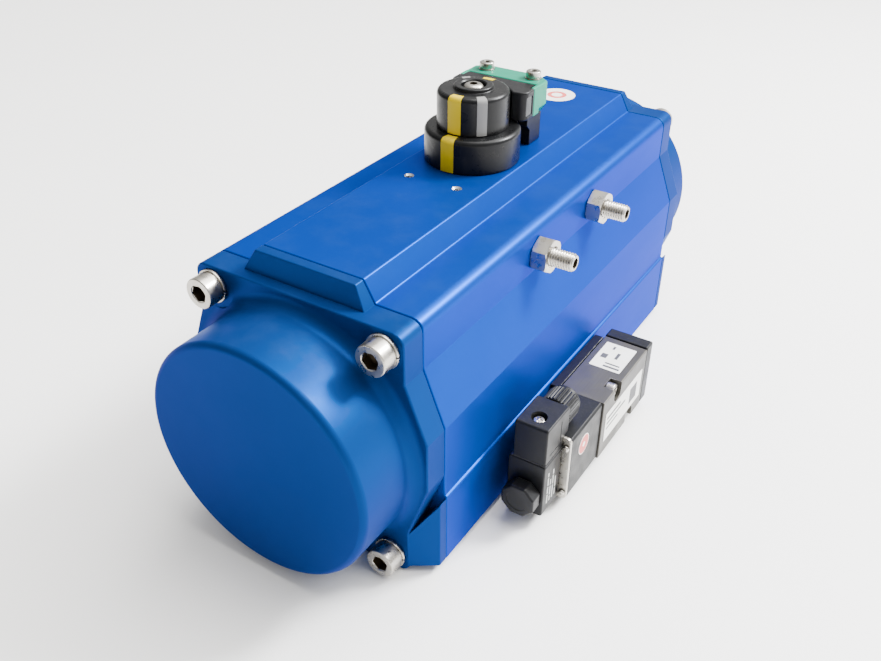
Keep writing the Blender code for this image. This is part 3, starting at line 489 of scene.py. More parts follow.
def paper(name, colour, roughness=0.5):
    """Printed sticker film: faint fibres and slight yellowing."""
    made, tree, shader = new_material(name, Roughness=roughness)
    aged = [colour[0] * 0.93, colour[1] * 0.90, colour[2] * 0.82, 1]
    tone = blend(tree, span(tree, noise(tree, 120, 4), 0.4, 0.7, 0, 0.6), colour, aged)
    tree.links.new(tone, shader.inputs["Base Color"])
    bump(tree, shader, (noise(tree, 900, 3), 0.15, 0.00003))
    return made


LOOKS = {
    "blue_body_coat": coating(
        "blue_body_coat", (0.0004, 0.040, 0.27, 1), (0.01, 0.11, 0.42, 1), 0.36, 0.08, 0.6
    ),
    # The cap coat's base is darker and greyer than the body coat's: painted shade standing in for the dimly lit
    # fronts of the caps.
    "blue_cap_coat": coating(
        "blue_cap_coat", (0.0022, 0.032, 0.150, 1), (0.01, 0.09, 0.30, 1), 0.40, 0.10, 0.45
    ),
    "stainless": metal("stainless", (0.46, 0.44, 0.40, 1), 0.28, lines=0.08),
    "gear_steel": metal("gear_steel", (0.42, 0.41, 0.40, 1), 0.34, (0.20, 0.17, 0.14, 1)),
    "spring_steel": metal("spring_steel", (0.20, 0.21, 0.23, 1), 0.38, (0.10, 0.09, 0.09, 1)),
    "cast_aluminium": metal("cast_aluminium", (0.66, 0.67, 0.68, 1), 0.45, (0.5, 0.5, 0.5, 1), lines=0.4),
    "rubber": plastic("rubber", (0.018, 0.018, 0.019, 1), 0.65, 0.4),
    "bearing_plastic": plastic("bearing_plastic", (0.74, 0.69, 0.56, 1), 0.45),
    "black_plastic": plastic("black_plastic", (0.0060, 0.0063, 0.0072, 1), 0.40, 0.30, 0.05),
    "yellow_plastic": plastic("yellow_plastic", (0.56, 0.41, 0.0005, 1), 0.42, 0.1, 0.05),
    "grey_plastic": plastic("grey_plastic", (0.20, 0.20, 0.195, 1), 0.40, 0.1, 0.05),
    "green_plastic": plastic("green_plastic", (0.0005, 0.185, 0.112, 1), 0.38, 0.15, 0.08),
    "valve_aluminium": anodised("valve_aluminium", (0.062, 0.059, 0.052, 1), 0.42),
    "black_aluminium": anodised("black_aluminium", (0.006, 0.006, 0.007, 1), 0.45),
}
MACHINED = metal("machined_aluminium", (0.72, 0.73, 0.74, 1), 0.30, (0.55, 0.55, 0.55, 1), (1, 1, 0.05), 0.3)
# Painted shade: the walls of hex sockets get this dark colour for the shadow inside the recess.
SOCKET_SHADE = metal("socket_painted_shade", (0.10, 0.075, 0.045, 1), 0.45, (0.05, 0.04, 0.03, 1))
GLOSS_BLACK = plastic("puck_black", (0.0050, 0.0052, 0.0056, 1), 0.30, 0.05, 0.06, 0.06)
WINDOW = plastic("window_black", (0.010, 0.014, 0.018, 1), 0.10, 0.02, 0.02, 0.0)
SEAM = plastic("gasket_rubber", (0.02, 0.02, 0.021, 1), 0.6, 0.3)
WHITE = paper("label_white", (0.80, 0.80, 0.77, 1))
INK = paper("label_ink", (0.045, 0.045, 0.05, 1))
PRINT = paper("pale_print", (0.45, 0.46, 0.46, 1))
PINK = paper("label_red", (0.62, 0.10, 0.09, 1))


def look(node):
    return LOOKS[SLOT_OF[node]]


# ---------------------------------------------------------------- housing

def body():
    outline = [(0.029, TOP - AXIS_Z, 0.0012), (0.035, 0.0723, 0.0012), (0.0604, 0.0723, 0.006)]
    outline += [(0.0604, 0.0466, 0.0012), (0.0719, 0.0173, 0.0015), (0.0719, -0.0245)]
    outline += [(0.0730, -0.0253, 0.0010), (0.0730, -0.0673, 0.0010), (0.0688, -AXIS_Z, 0.0012)]
    shape = prism(soften(mirrored(outline)), BODY_LOW.y, BODY_END, Y, 0.0008, 3, (0, 0, AXIS_Z))
    bore = [(0, -0.1402), (0.0634, -0.1402), (BORE_RADIUS, -0.1393), (BORE_RADIUS, 0.1393)]
    bore += [(0.0634, 0.1402), (0, 0.1402)]
    stop_z = AXIS_Z + 0.056
    low, high = stop_z - 0.0065, stop_z + 0.006
    shaft = [(0, -0.001), (0.0288, -0.001), (0.0280, 0.0008), (0.0280, AXIS_Z - 0.03)]
    shaft += [(0.0200, AXIS_Z - 0.03), (0.0200, low), (0.0405, low), (0.0405, high), (0.0200, high)]
    shaft += [(0.0200, TOP - 0.0006), (0.0208, TOP + 0.0005), (0, TOP + 0.0005)]
    small = []
    for x in (-0.015, 0.015):
        for y in (-0.040, 0.040):
            tapped = [(0, TOP - 0.009), (0.0019, TOP - 0.009), (0.0019, TOP - 0.0009)]
            tapped += [(0.0028, TOP + 0.0002), (0, TOP + 0.0002)]
            small.append(turned(tapped, Z, (x, y, 0), 24))
    for circle, radius, depth in ((0.035, 0.0034, 0.011), (0.051, 0.0043, 0.016)):
        for k in range(4):
            angle = math.radians(45 + 90 * k)
            hole = [
                (0, -0.001), (radius + 0.0018, -0.001), (radius, 0.0008), (radius, depth), (0, depth + 0.002)
            ]
            small.append(turned(hole, Z, (circle * math.cos(angle), circle * math.sin(angle), 0), 32))
    for place in CAP_SCREW_PLACES:
        for start, end in ((0.106, 0.141), (-0.141, -0.106)):
            small.append(rod(0.0050, start, end, Y, place, 24))
    stops = [rod(0.0053, 0.0143, 0.062, X, (0, y, stop_z), 24) for y in (-0.033, 0.033)]
    sides = [
        rod(0.0050, start, 0.075, X, (0, y, AXIS_Z - 0.0463), 24) for y,
        start in ((0.012, 0.035), (-0.012, 0.055))
    ]
    sides += [rod(0.0027, 0.0615, 0.075, X, (0, y, z), 16) for y, z in VALVE_SCREWS]
    cuts = [(turned(bore, Y, (0, 0, AXIS_Z), 128), MACHINED), (turned(shaft, steps=96), MACHINED)]
    cuts += [(merge(*small), MACHINED), (merge(*stops), MACHINED), (merge(*sides), MACHINED)]
    piece("body_shell", shape, look("body_extrusion"), "body_extrusion", cuts=cuts)


def cap_wedges(flip):
    """The cap's share of the raised top pad and of the side pads."""
    way = -1 if flip else 1
    start, edge, foot = BODY_END + 0.0003, BODY_END + 0.006, BODY_END + 0.009
    low, high = AXIS_Z + 0.0703, TOP
    top = []
    for side in (-1, 1):
        top += [(side * 0.029, way * start, high), (side * 0.029, way * edge, high)]
        top += [(side * 0.0361, way * start, low), (side * 0.0361, way * foot, low)]
    shapes = [hull(top, 0.0006)]
    for side in (-1, 1):
        points = []
        for z, drop in ((AXIS_Z - 0.0673, 0.0), (AXIS_Z - 0.0253, 0.0195)):
            points += [(side * 0.0730, way * start, z), (side * 0.0730, way * edge, z)]
            points += [
                (side * 0.0599, way * start, z - drop),
                (side * 0.0599, way * (FLANGE_FACE - 0.0003), z - drop)
            ]
        shapes.append(hull(points, 0.0006))
    return shapes


def end_cap(end, flip):
    outline = [(0.0604, 0.0723, 0.006), (0.0604, 0.0466, 0.0012), (0.0719, 0.0173, 0.0015)]
    outline += [(0.0719, -0.0105, 0.0015), (0.0604, -0.044, 0.0012), (0.0604, -AXIS_Z, 0.006)]
    centre = (0, 0, AXIS_Z)
    shape = prism(soften(mirrored(outline)), BODY_END + 0.0003, FLANGE_FACE, Y, 0.0009, 3, centre, flip)
    cup = [
        (0, 0.132), (0.0621, 0.132), (0.0621, 0.1345), (0.0601, 0.1345), (0.0601, 0.1375), (0.0621, 0.1375)
    ]
    cup += [(0.0621, 0.142), (0.0630, 0.1500), (CUP_RADIUS + 0.0066, 0.1540)]
    cup += arc((CUP_RADIUS + 0.0066, FLANGE_FACE + 0.0066), 0.0066, 270, 180, 12)
    cup += arc((CUP_RADIUS - 0.0035, CAP_FACE - 0.0035), 0.0035, 0, 90, 10) + [(0, CAP_FACE)]
    hollow = soften(
        [(0, 0.131), (0.0588, 0.131), (0.0588, CAP_FACE - 0.0055, 0.004), (0, CAP_FACE - 0.0055)], 0, 4, False
    )
    holes = [rod(0.0055, 0.139, 0.156, Y, place, 32, 0, flip) for place in CAP_SCREW_PLACES]
    pockets = [rod(0.0122, FLANGE_FACE - 0.0001, 0.185, Y, place, 64, 0, flip) for place in CAP_SCREW_PLACES]
    cuts = [
        (turned(hollow, Y, centre, 96, flip), LOOKS["cast_aluminium"]), merge(*pockets),
        (merge(*holes), MACHINED)
    ]
    joins = cap_wedges(flip) + [turned(cup, Y, centre, 160, flip)]
    node = f"{end}_end_cap"
    piece(f"{end}_cap", shape, look(node), node, cuts=cuts, joins=joins)


def socket_head(name, node, radius, height, shank, length, key, seat, axis, centre, flip=False):
    """A socket head screw with a soft rim, a chamfered hexagon socket and a threaded shank's plain core."""
    profile = [(0, seat - length), (shank - 0.0006, seat - length), (shank, seat - length + 0.0006)]
    profile += [(shank, seat), (radius - 0.0002, seat), (radius, seat + 0.0003)]
    profile += arc((radius - 0.0007, seat + height - 0.0007), 0.0007, 0, 90, 4) + [(0, seat + height)]
    mouth = key / math.sqrt(3)
    deep = seat + height * 0.45
    flare = [(0, seat + height - 0.0004), (mouth * 0.96, seat + height - 0.0004)]
    flare += [(mouth + 0.0005, seat + height + 0.0006), (0, seat + height + 0.0006)]
    # The socket's walls take the painted-shade colour.
    cuts = [(prism(hexagon(key, 12), deep, seat + height + 0.001, axis, 0, 3, centre, flip), SOCKET_SHADE)]
    cuts.append(turned(flare, axis, centre, 36, flip))
    return piece(name, turned(profile, axis, centre, 48, flip), look(node), node, cuts=cuts)


def washer(name, inner, outer, low, high, axis, centre, flip=False, split=False, body="housing"):
    """A round washer. A split one is a spring washer with a cut across it."""
    edge = (high - low) * 0.25
    loop = [(inner, low, edge), (outer, low, edge), (outer, high, edge), (inner, high, edge)]
    cuts = []
    if split:
        middle = (low + high) / 2
        across = [(outer + inner) / 2 - 0.003, (outer + inner) / 2 + 0.003]
        corners = [(across[0], -0.0003), (across[1], -0.0003), (across[1], 0.0005), (across[0], 0.0005)]
        cuts.append(prism(corners, middle - 0.002, middle + 0.002, axis, 0, 3, centre, flip))
    obj = piece(
        name, turned(soften(loop, 0, 2), axis, centre, 48, flip), LOOKS["stainless"], None, body, cuts
    )


def cap_screws():
    for end, flip in (("front", True), ("rear", False)):
        for level, z in (("upper", CAP_SCREW_Z), ("lower", -CAP_SCREW_Z)):
            for side in ("left", "right"):
                node = f"{end}_cap_screw_{level}_{side}"
                low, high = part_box(node)
                centre = ((low.x + high.x) / 2, 0, AXIS_Z + z)
                thick = 0.0018
                washer(
                    f"{end}_washer_{level}_{side}", 0.0053, 0.0088, FLANGE_FACE + 0.0001, FLANGE_FACE + thick,
                    Y, centre, flip, True
                )
                socket_head(
                    f"{end}_bolt_{level}_{side}", node, 0.008, 0.0101 - thick, 0.0048, 0.038, 0.008,
                    FLANGE_FACE + thick + 0.0001, Y, centre, flip
                )


def stop_bolts():
    for end in ("front", "rear"):
        node = f"{end}_stop_bolt"
        low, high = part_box(node)
        centre = (0, (low.y + high.y) / 2, (low.z + high.z) / 2)
        shape = thread(0.0049, 0.00075, 0.0015, 0.050, high.x, X, centre, chamfer=0.0010)
        plain = rod(0.0046, low.x, 0.0505, X, centre, 36, 0.0006)
        # The socket's walls take the painted-shade colour.
        cuts = [(prism(hexagon(0.0055, 8), high.x - 0.006, high.x + 0.001, X, 0, 3, centre), SOCKET_SHADE)]
        piece(f"{end}_stop_screw", shape, look(node), node, cuts=cuts, joins=[plain], angle=50)
        node = f"{end}_stop_nut"
        low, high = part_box(node)
        corner = 0.017 / math.sqrt(3)
        round_corners = [(0, low.x), (corner - 0.0010, low.x), (corner + 0.0002, low.x + 0.0007)]
        round_corners += [(corner + 0.0002, high.x - 0.0007), (corner - 0.0010, high.x), (0, high.x)]
        obj = mesh_object(
            f"{end}_lock_nut",
            prism(hexagon(0.017, NUT_TURN), low.x - 0.001, high.x + 0.001, X, 0, 3, centre), look(node)
        )
        combine(obj, turned(round_corners, X, centre, 96), None, "INTERSECT")
        bore = [(0, low.x - 0.001), (0.0060, low.x - 0.001), (0.0052, low.x + 0.0008)]
        bore += [(0.0052, high.x - 0.0008), (0.0060, high.x + 0.0004), (0, high.x + 0.0004)]
        combine(obj, turned(bore, X, centre, 48), LOOKS["stainless"])
        smooth(obj, 25)
        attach(obj, "housing")
        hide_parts(node)


# ---------------------------------------------------------------- position indicator

def stripe(profile, angle, width):
    """A sector of a turned profile, as wide as the stripe at its outer radius."""
    outer = max(point[0] for point in profile)
    half = math.degrees(width / 2 / outer)
    rings = []
    for k in range(9):
        turn = math.radians(angle - half + 2 * half * k / 8)
        rings.append([spot(Z, r * math.cos(turn), r * math.sin(turn), h) for r, h in profile])
    return skin(rings)


def tier(radius, low, high, edge, inner):
    """The outer skin of one puck tier, from its foot to its top face."""
    points = [(radius, low)] + arc((radius - edge, high - edge), edge, 0, 90, 6)
    return points + [(inner, high)]


def puck():
    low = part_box("indicator_base")[0].z
    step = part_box("indicator_base")[1].z
    high = TOP + 0.0395
    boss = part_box("indicator_cap")[1].z
    base = [
        (0.0103, TOP + 0.008), (0.0230, TOP + 0.008), (0.0230, low), (0.0262, low), (0.0265, low + 0.0004)
    ]
    base += arc((0.0265 - 0.0028, step - 0.0028), 0.0028, 0, 90, 8) + [(0.0103, step)]
    cap = [(0.0105, step + 0.0003), (0.0197, step + 0.0003)]
    cap += arc((0.0197 - 0.0026, high - 0.0026), 0.0026, 0, 90, 8)
    cap += arc((0.0113, high + 0.0006), 0.0006, 270, 180, 4)
    cap += arc((0.0097, boss - 0.0010), 0.0010, 0, 90, 5) + [(0.0074, boss), (0.0068, boss - 0.0006)]
    cap += [(0.0068, boss - 0.0035), (0.0033, boss - 0.0035), (0.0033, TOP + 0.022), (0.0105, TOP + 0.022)]
    base_skin = tier(0.02655, TOP + 0.0006, step + 0.00005, 0.0028, 0.0205)
    cap_skin = tier(0.01975, step + 0.0006, high + 0.00005, 0.0026, 0.0150)

    def closed(points, depth):
        inside = [
            (max(radius - depth, 0.010), height - (depth if k > 1 else 0)) for k,
            (radius, height) in enumerate(points)
        ]
        return points + inside[::-1]

    grooves = {"base": [], "cap": []}
    stripes = (("lower_yellow_insert", "base", base_skin, (-90, 90), 0.0080),
               ("upper_yellow_insert", "cap", cap_skin, (-90, 90), 0.0080),
               ("upper_grey_insert", "cap", cap_skin, (-45, 135), 0.0055))
    for node, owner, points, angles, width in stripes:
        band = closed(points, 0.0008)
        shapes = [stripe(band, angle, width) for angle in angles]
        deeper = [
            (r + (0.0004 if k < len(points) else -0.0001), h + (0.0004 if 0 < k < len(points) else 0)) for k,
            (r, h) in enumerate(band)
        ]
        grooves[owner] += [stripe(deeper, angle, width + 0.0002) for angle in angles]
        piece(node.replace("insert", "stripes"), merge(*shapes), look(node), node)
    piece("puck_base", turned(base, steps=96), GLOSS_BLACK, "indicator_base", cuts=grooves["base"])
    piece("puck_cap", turned(cap, steps=96), GLOSS_BLACK, "indicator_cap", cuts=grooves["cap"])
    head = boss - 0.0035 + 0.0003
    profile = [(0, head - 0.020), (0.0021, head - 0.020), (0.0021, head), (0.0056, head)]
    profile += [(0.0058, head + 0.0008)] + arc(
        (0.0030, head + 0.0008), 0.0026, 15, 90, 5
    ) + [(0, head + 0.0034)]
    # The socket's walls take the painted-shade colour.
    cuts = [(prism(hexagon(0.004, 10), head + 0.0010, head + 0.006, Z), SOCKET_SHADE)]
    piece("puck_screw", turned(profile, steps=40), look("indicator_screw"), "indicator_screw", cuts=cuts)


# ---------------------------------------------------------------- sensor

def sensor():
    bottom, top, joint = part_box("sensor_housing")[0].z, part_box("sensor_cover")[1].z, 0.031
    floor = TOP + 0.0198
    half = 0.024
    hug = arc((0, 0), 0.0213, 140, 40, 20)
    outline = [(half, joint), (-half, joint), (-half, 0.0150, 0.0045)] + hug + [(half, 0.0150, 0.0045)]
    shape = prism(soften(outline, 0, 5), floor, top, Z, 0.0010, 3)
    legs = []
    for x in (-0.015, 0.015):
        side = [(0.0310, bottom), (0.0440, bottom), (0.0440, TOP + 0.0167), (0.0305, TOP + 0.0167)]
        side += [
            (0.0305, floor + 0.003), (0.0275, floor + 0.003), (0.0275, TOP + 0.0127), (0.0310, TOP + 0.0092)
        ]
        legs.append(prism(soften(side, 0.0007, 3), x - 0.0042, x + 0.0042, X, 0.0004))
    holes = [rod(0.0026, TOP - 0.001, top + 0.001, Z, (x, 0.040, 0), 32) for x in (-0.015, 0.015)]
    windows = [
        block((x - 0.0004, 0.0168, floor + 0.0024), (x + 0.0004, 0.0232, top - 0.0030), 0.0010, X, 0.0002)
        for x in (-half, half)
    ]
    cheeks = [
        block((x - 0.0028, 0.0242, floor - 0.001), (x + 0.0028, 0.0311, top + 0.001), 0.0004, Z, 0.0001)
        for x in (-half, half)
    ]
    cuts = [merge(*holes)] + [(shape_of, WINDOW) for shape_of in windows] + [merge(*cheeks)]
    piece("sensor_body", shape, look("sensor_housing"), "sensor_housing", cuts=cuts, joins=legs)
    back = 0.047
    outline = [(half, joint + 0.0003), (half, 0.0405, 0.0025), (half - 0.0085, back, 0.0025)]
    outline += [(-half + 0.006, back, 0.0025), (-half, 0.042, 0.0025), (-half, joint + 0.0003)]
    shape = prism(soften(outline, 0, 5), TOP + 0.0170, top, Z, 0.0012, 4)
    seats = [rod(0.0048, top - 0.0004, top + 0.001, Z, (x, 0.040, 0), 40) for x in (-0.015, 0.015)]
    cheeks = [
        block((min(x, x * 0.891), 0.0244, floor), (max(x, x * 0.891), 0.0330, top), 0.0012, Z, 0.0009)
        for x in (-half, half)
    ]
    corner = [(half - 0.0055, TOP + 0.0165), (half + 0.001, TOP + 0.0165), (half + 0.001, TOP + 0.0245)]
    corners = [prism([(side * a, b) for a, b in corner], joint, back + 0.001, Y) for side in (-1, 1)]
    piece(
        "sensor_lid", shape, look("sensor_cover"), "sensor_cover", joins=cheeks,
        cuts=[merge(*holes), merge(*seats), merge(*corners)]
    )
    for side, x in (("left", -0.015), ("right", 0.015)):
        centre = (x, 0.040, 0)
        washer(f"sensor_washer_{side}", 0.0024, 0.0046, top - 0.0003, top + 0.0005, Z, centre)
        socket_head(
            f"sensor_bolt_{side}", f"sensor_screw_{side}", 0.0042, 0.0036, 0.0022, 0.034, 0.003, top + 0.0006,
            Z, centre
        )


# ---------------------------------------------------------------- valve

PORT_Z = AXIS_Z - 0.0463
VALVE_SCREWS = [(-0.012, PORT_Z + 0.016), (0.012, PORT_Z - 0.016)]
SPOOL_X = 0.0928
NUT_TURN = 30


def side_ports(low, high):
    holes = [rod(0.0045, low, high, X, (0, y, PORT_Z), 32) for y in (-0.012, 0.012)]
    return merge(*holes, *[rod(0.0026, low, high, X, (0, y, z), 24) for y, z in VALVE_SCREWS])


def valve():
    low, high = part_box("namur_plate")
    piece(
        "valve_plate", block(low, high, 0.0006, X, 0.0004), look("namur_plate"), "namur_plate",
        cuts=[side_ports(0.072, 0.080)]
    )
    low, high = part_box("valve_body")
    cuts = [rod(0.0072, low.y - 0.001, high.y + 0.001, Y, (SPOOL_X, 0, PORT_Z), 48)]
    ports = [rod(0.0045, low.x - 0.001, SPOOL_X - 0.002, X, (0, y, PORT_Z), 32) for y in (-0.012, 0.012)]
    for y in (-0.0205, 0, 0.0205):
        profile = [
            (0, low.z - 0.001), (0.0070, low.z - 0.001), (0.0058, low.z + 0.0009), (0.0058, PORT_Z - 0.002),
            (0, PORT_Z - 0.002)
        ]
        ports.append(turned(profile, Z, (SPOOL_X, y, 0), 40))
    cuts.append((merge(*ports), MACHINED))
    fixings = []
    for y, z in VALVE_SCREWS:
        side = 1 if z > PORT_Z else -1
        fixings.append(rod(0.0026, 0.078, 0.100, X, (0, y, z), 24))
        corner = [
            (y - 0.0048, z - side * 0.0010), (y - 0.0048, z + side * 0.008), (y + 0.0048, z + side * 0.008),
            (y + 0.0048, z - side * 0.0010)
        ]
        bend = arc((y, z - side * 0.0010), 0.0048, 0, -180 * side, 10)
        fixings.append(prism(corner[:3] + bend[:-1], 0.0995, high.x + 0.001, X))
    piece(
        "valve_block", block(low, high, 0.0007, Y, 0.0005), look("valve_body"), "valve_body",
        cuts=cuts + [fixings[1], fixings[3], merge(fixings[0], fixings[2])]
    )
    for level, (y, z) in zip(("upper", "lower"), VALVE_SCREWS):
        socket_head(
            f"valve_bolt_{level}", f"valve_screw_{level}", 0.0042, 0.0048, 0.0023, 0.036, 0.004, 0.0998, X,
            (0, y, z)
        )
    low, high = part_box("valve_rear_cap")
    pocket = rod(0.0062, low.y - 0.001, low.y + 0.0055, Y, (SPOOL_X, 0, PORT_Z), 40)
    piece(
        "valve_end", block(low, high, 0.0012, Y, 0.0008), look("valve_rear_cap"), "valve_rear_cap",
        cuts=[pocket]
    )
    low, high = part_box("pilot_block")
    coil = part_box("coil_nut")
    coil_x, coil_z = (coil[0].x + coil[1].x) / 2, (coil[0].z + coil[1].z) / 2
    seats = [
        rod(0.0056, low.y - 0.001, low.y + 0.004, Y, (coil_x, 0, coil_z), 40),
        rod(0.0055, high.y - 0.0097, high.y + 0.001, Y, (SPOOL_X, 0, PORT_Z), 40)
    ]
    outline = soften(
        [
            (low.x, low.z, 0.001), (high.x, low.z, 0.0012), (high.x, high.z - 0.0012, 0.0008),
            (high.x - 0.0012, high.z, 0.0008), (low.x, high.z, 0.001)
        ]
    )
    piece(
        "pilot_housing", prism(outline, low.y, high.y, Y, 0.0006), look("pilot_block"), "pilot_block",
        cuts=[merge(*seats)]
    )


def solenoid():
    coil_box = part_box("coil_nut")
    x, z = (coil_box[0].x + coil_box[1].x) / 2, (coil_box[0].z + coil_box[1].z) / 2
    centre = (x, 0, z)
    low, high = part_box("coil_bracket")
    outline = rectangle((low.x, low.z), (high.x, high.z), 0.0028)
    holes = [rod(0.0056, low.y - 0.001, high.y + 0.001, Y, centre, 40)]
    screws = [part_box("bracket_screw_lower"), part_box("bracket_screw_upper")]
    for a, b in screws:
        holes.append(rod(0.0013, low.y - 0.001, high.y + 0.001, Y, ((a.x + b.x) / 2, 0, (a.z + b.z) / 2), 24))
    piece(
        "coil_plate", prism(outline, low.y, high.y, Y, 0.0004), look("coil_bracket"), "coil_bracket",
        cuts=[merge(*holes)]
    )
    for level, (a, b) in zip(("lower", "upper"), screws):
        middle = ((a.x + b.x) / 2, 0, (a.z + b.z) / 2)
        top = -a.y
        profile = [(0, top), (0.0007, top)] + arc((0.0009, top - 0.0010), 0.0010, 90, 0, 4) + [
            (0.0019, top - 0.0014), (0.0010, top - 0.0014), (0.0010, 0.061), (0, 0.061)
        ]
        cross = crossed_slots(0.0010, 0.00022, 0.0001, 0.0005, top, Y, middle, True)
        piece(
            f"plate_screw_{level}", turned(profile, Y, middle, 24, True), look("bracket_screw_lower"),
            f"bracket_screw_{level}", cuts=cross
        )
    low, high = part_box("solenoid_coil")
    cuts = [rod(0.0056, low.y - 0.001, high.y + 0.001, Y, centre, 40)]
    piece("coil", block(low, high, 0.0016, Y, 0.0009), look("solenoid_coil"), "solenoid_coil", cuts=cuts)
    low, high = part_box("coil_nut")
    nut = prism(
        soften([(a, b, 0.0012) for a, b in arc((0, 0), 0.0102, 22.5, 337.5, 7)], 0, 3), low.y, high.y, Y,
        0.0011, 4, centre
    )
    dimple = turned(
        [(0, low.y - 0.001), (0.0062, low.y - 0.001), (0.0062, low.y + 0.0002), (0, low.y + 0.0003)], Y,
        centre, 48
    )
    piece(
        "coil_cap_nut", nut, look("coil_nut"), "coil_nut",
        cuts=[merge(dimple, rod(0.0056, low.y + 0.0021, high.y + 0.001, Y, centre, 40))]
    )


def plug():
    low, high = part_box("din_plug")
    rear = -0.0653
    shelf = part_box("pilot_block")[1].z + 0.0021
    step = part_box("coil_bracket")[0].y - 0.0003
    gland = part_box("gland_nut")
    x, z = (gland[0].x + gland[1].x) / 2, (gland[0].z + gland[1].z) / 2
    outline = [
        (low.y, low.z + 0.0012), (low.y, high.z, 0.0016), (rear, high.z, 0.0020), (rear, shelf),
        (step, shelf), (step, low.z + 0.0012)
    ]
    shape = prism(soften(outline), low.x, high.x, X, 0.0009, 4)
    neck = rod(0.0070, rear - 0.004, rear + 0.010, Y, (x, 0, z), 48)
    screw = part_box("plug_screw")
    sx, sy = (screw[0].x + screw[1].x) / 2, (screw[0].y + screw[1].y) / 2
    well = [
        (0, low.z - 0.001), (0.0017, low.z - 0.001), (0.0017, high.z - 0.004), (0.0040, high.z - 0.004),
        (0.0041, high.z - 0.0005), (0.0047, high.z + 0.0006), (0, high.z + 0.0006)
    ]
    cuts = [rod(0.0042, rear - 0.012, rear + 0.011, Y, (x, 0, z), 32), turned(well, Z, (sx, sy, 0), 40)]
    inner_z, line = low.z + 0.0050, 0.0006
    groove = [
        (low.y + 0.004, inner_z), (step - 0.003, inner_z), (step - 0.003, high.z - 0.004),
        (step - 0.003 - line, high.z - 0.004), (step - 0.003 - line, inner_z + line),
        (low.y + 0.004, inner_z + line)
    ]
    cuts.append(prism(groove, high.x - 0.0007, high.x + 0.001, X))
    piece("plug_shell", shape, look("din_plug"), "din_plug", cuts=cuts, joins=[neck])
    gasket = block(
        (low.x - 0.0002, low.y - 0.0001, low.z), (high.x + 0.0002, step, low.z + 0.0011), 0.0006, Z, 0.0003
    )
    obj = piece(
        "plug_gasket", gasket, SEAM, cuts=[rod(0.0017, low.z - 0.001, low.z + 0.003, Z, (sx, sy, 0), 24)]
    )
    top = screw[1].z
    profile = [(0, screw[0].z), (0.0013, screw[0].z), (0.0013, top - 0.0022), (0.0030, top - 0.0022)]
    profile += arc((0.0024, top - 0.0008), 0.0006, 0, 90, 3) + [(0, top)]
    slots = crossed_slots(0.0022, 0.0004, 0.0002, 0.0010, top, Z, (sx, sy, 0))
    piece("plug_bolt", turned(profile, Z, (sx, sy, 0), 32), look("plug_screw"), "plug_screw", cuts=slots)
    low, high = gland
    nut = prism(ribbed(0.0095, 0.0006, 30), low.y, high.y - 0.0020, Y, 0, 0, (x, 0, z))
    barrel = [
        (0, low.y), (0.0086, low.y), (0.0096, low.y + 0.0010), (0.0096, high.y - 0.0032),
        (0.0085, high.y - 0.0020), (0, high.y - 0.0020)
    ]
    collar = turned(
        soften(
            [
                (0, high.y - 0.003), (0.0087, high.y - 0.003), (0.0087, high.y - 0.0006, 0.0008),
                (0.0082, high.y, 0.0006), (0, high.y)
            ],
            0, 3, False
        ),
        Y, (x, 0, z), 64
    )
    mouth = [
        (0, low.y - 0.001), (0.0074, low.y - 0.001), (0.0074, low.y + 0.0101), (0.0040, low.y + 0.0101),
        (0.0040, high.y - 0.0008), (0.0050, high.y + 0.0004), (0, high.y + 0.0004)
    ]
    piece(
        "gland", nut, look("gland_nut"), "gland_nut", trims=[turned(barrel, Y, (x, 0, z), 120)],
        joins=[collar], cuts=[turned(mouth, Y, (x, 0, z), 40)]
    )


# ---------------------------------------------------------------- labels

def label(name, axis, side, centre, size, look_of, marks=(), ink=INK, radius=0.0006, thick=0.00012):
    """A thin sticker on the face across an axis. marks are (a0, b0, a1, b1) printed blocks, from -1 to 1."""
    half_a, half_b = size[0] / 2, size[1] / 2
    level = centre[AXES.index(axis)]
    middle = [c for k, c in enumerate(centre) if k != AXES.index(axis)]
    base = rectangle(
        (middle[0] - half_a, middle[1] - half_b), (middle[0] + half_a, middle[1] + half_b), radius
    )
    obj = piece(name, prism(base, level, level + side * thick, axis), look_of)
    if marks:
        shapes = []
        for a0, b0, a1, b1 in marks:
            corners = rectangle(
                (middle[0] + a0 * half_a, middle[1] + b0 * half_b),
                (middle[0] + a1 * half_a, middle[1] + b1 * half_b), 0.00008, 2
            )
            shapes.append(prism(corners, level + side * thick * 0.5, level + side * thick * 1.25, axis))
        printed = piece(name + "_print", merge(*shapes), ink)


def round_label(name, axis, side, centre, radius, ring):
    thick = 0.00012
    level = centre[AXES.index(axis)]
    middle = list(centre)
    middle[AXES.index(axis)] = 0
    disc = piece(
        name,
        rod(radius, min(level, level + side * thick), max(level, level + side * thick), axis, middle, 64),
        WHITE
    )
    top = level + side * thick * 1.3
    low, high = min(level + side * thick * 0.5, top), max(level + side * thick * 0.5, top)
    loop = [(ring[0], low), (ring[1], low), (ring[1], high), (ring[0], high)]
    printed = piece(name + "_print", turned(loop, axis, middle, 64), PINK)


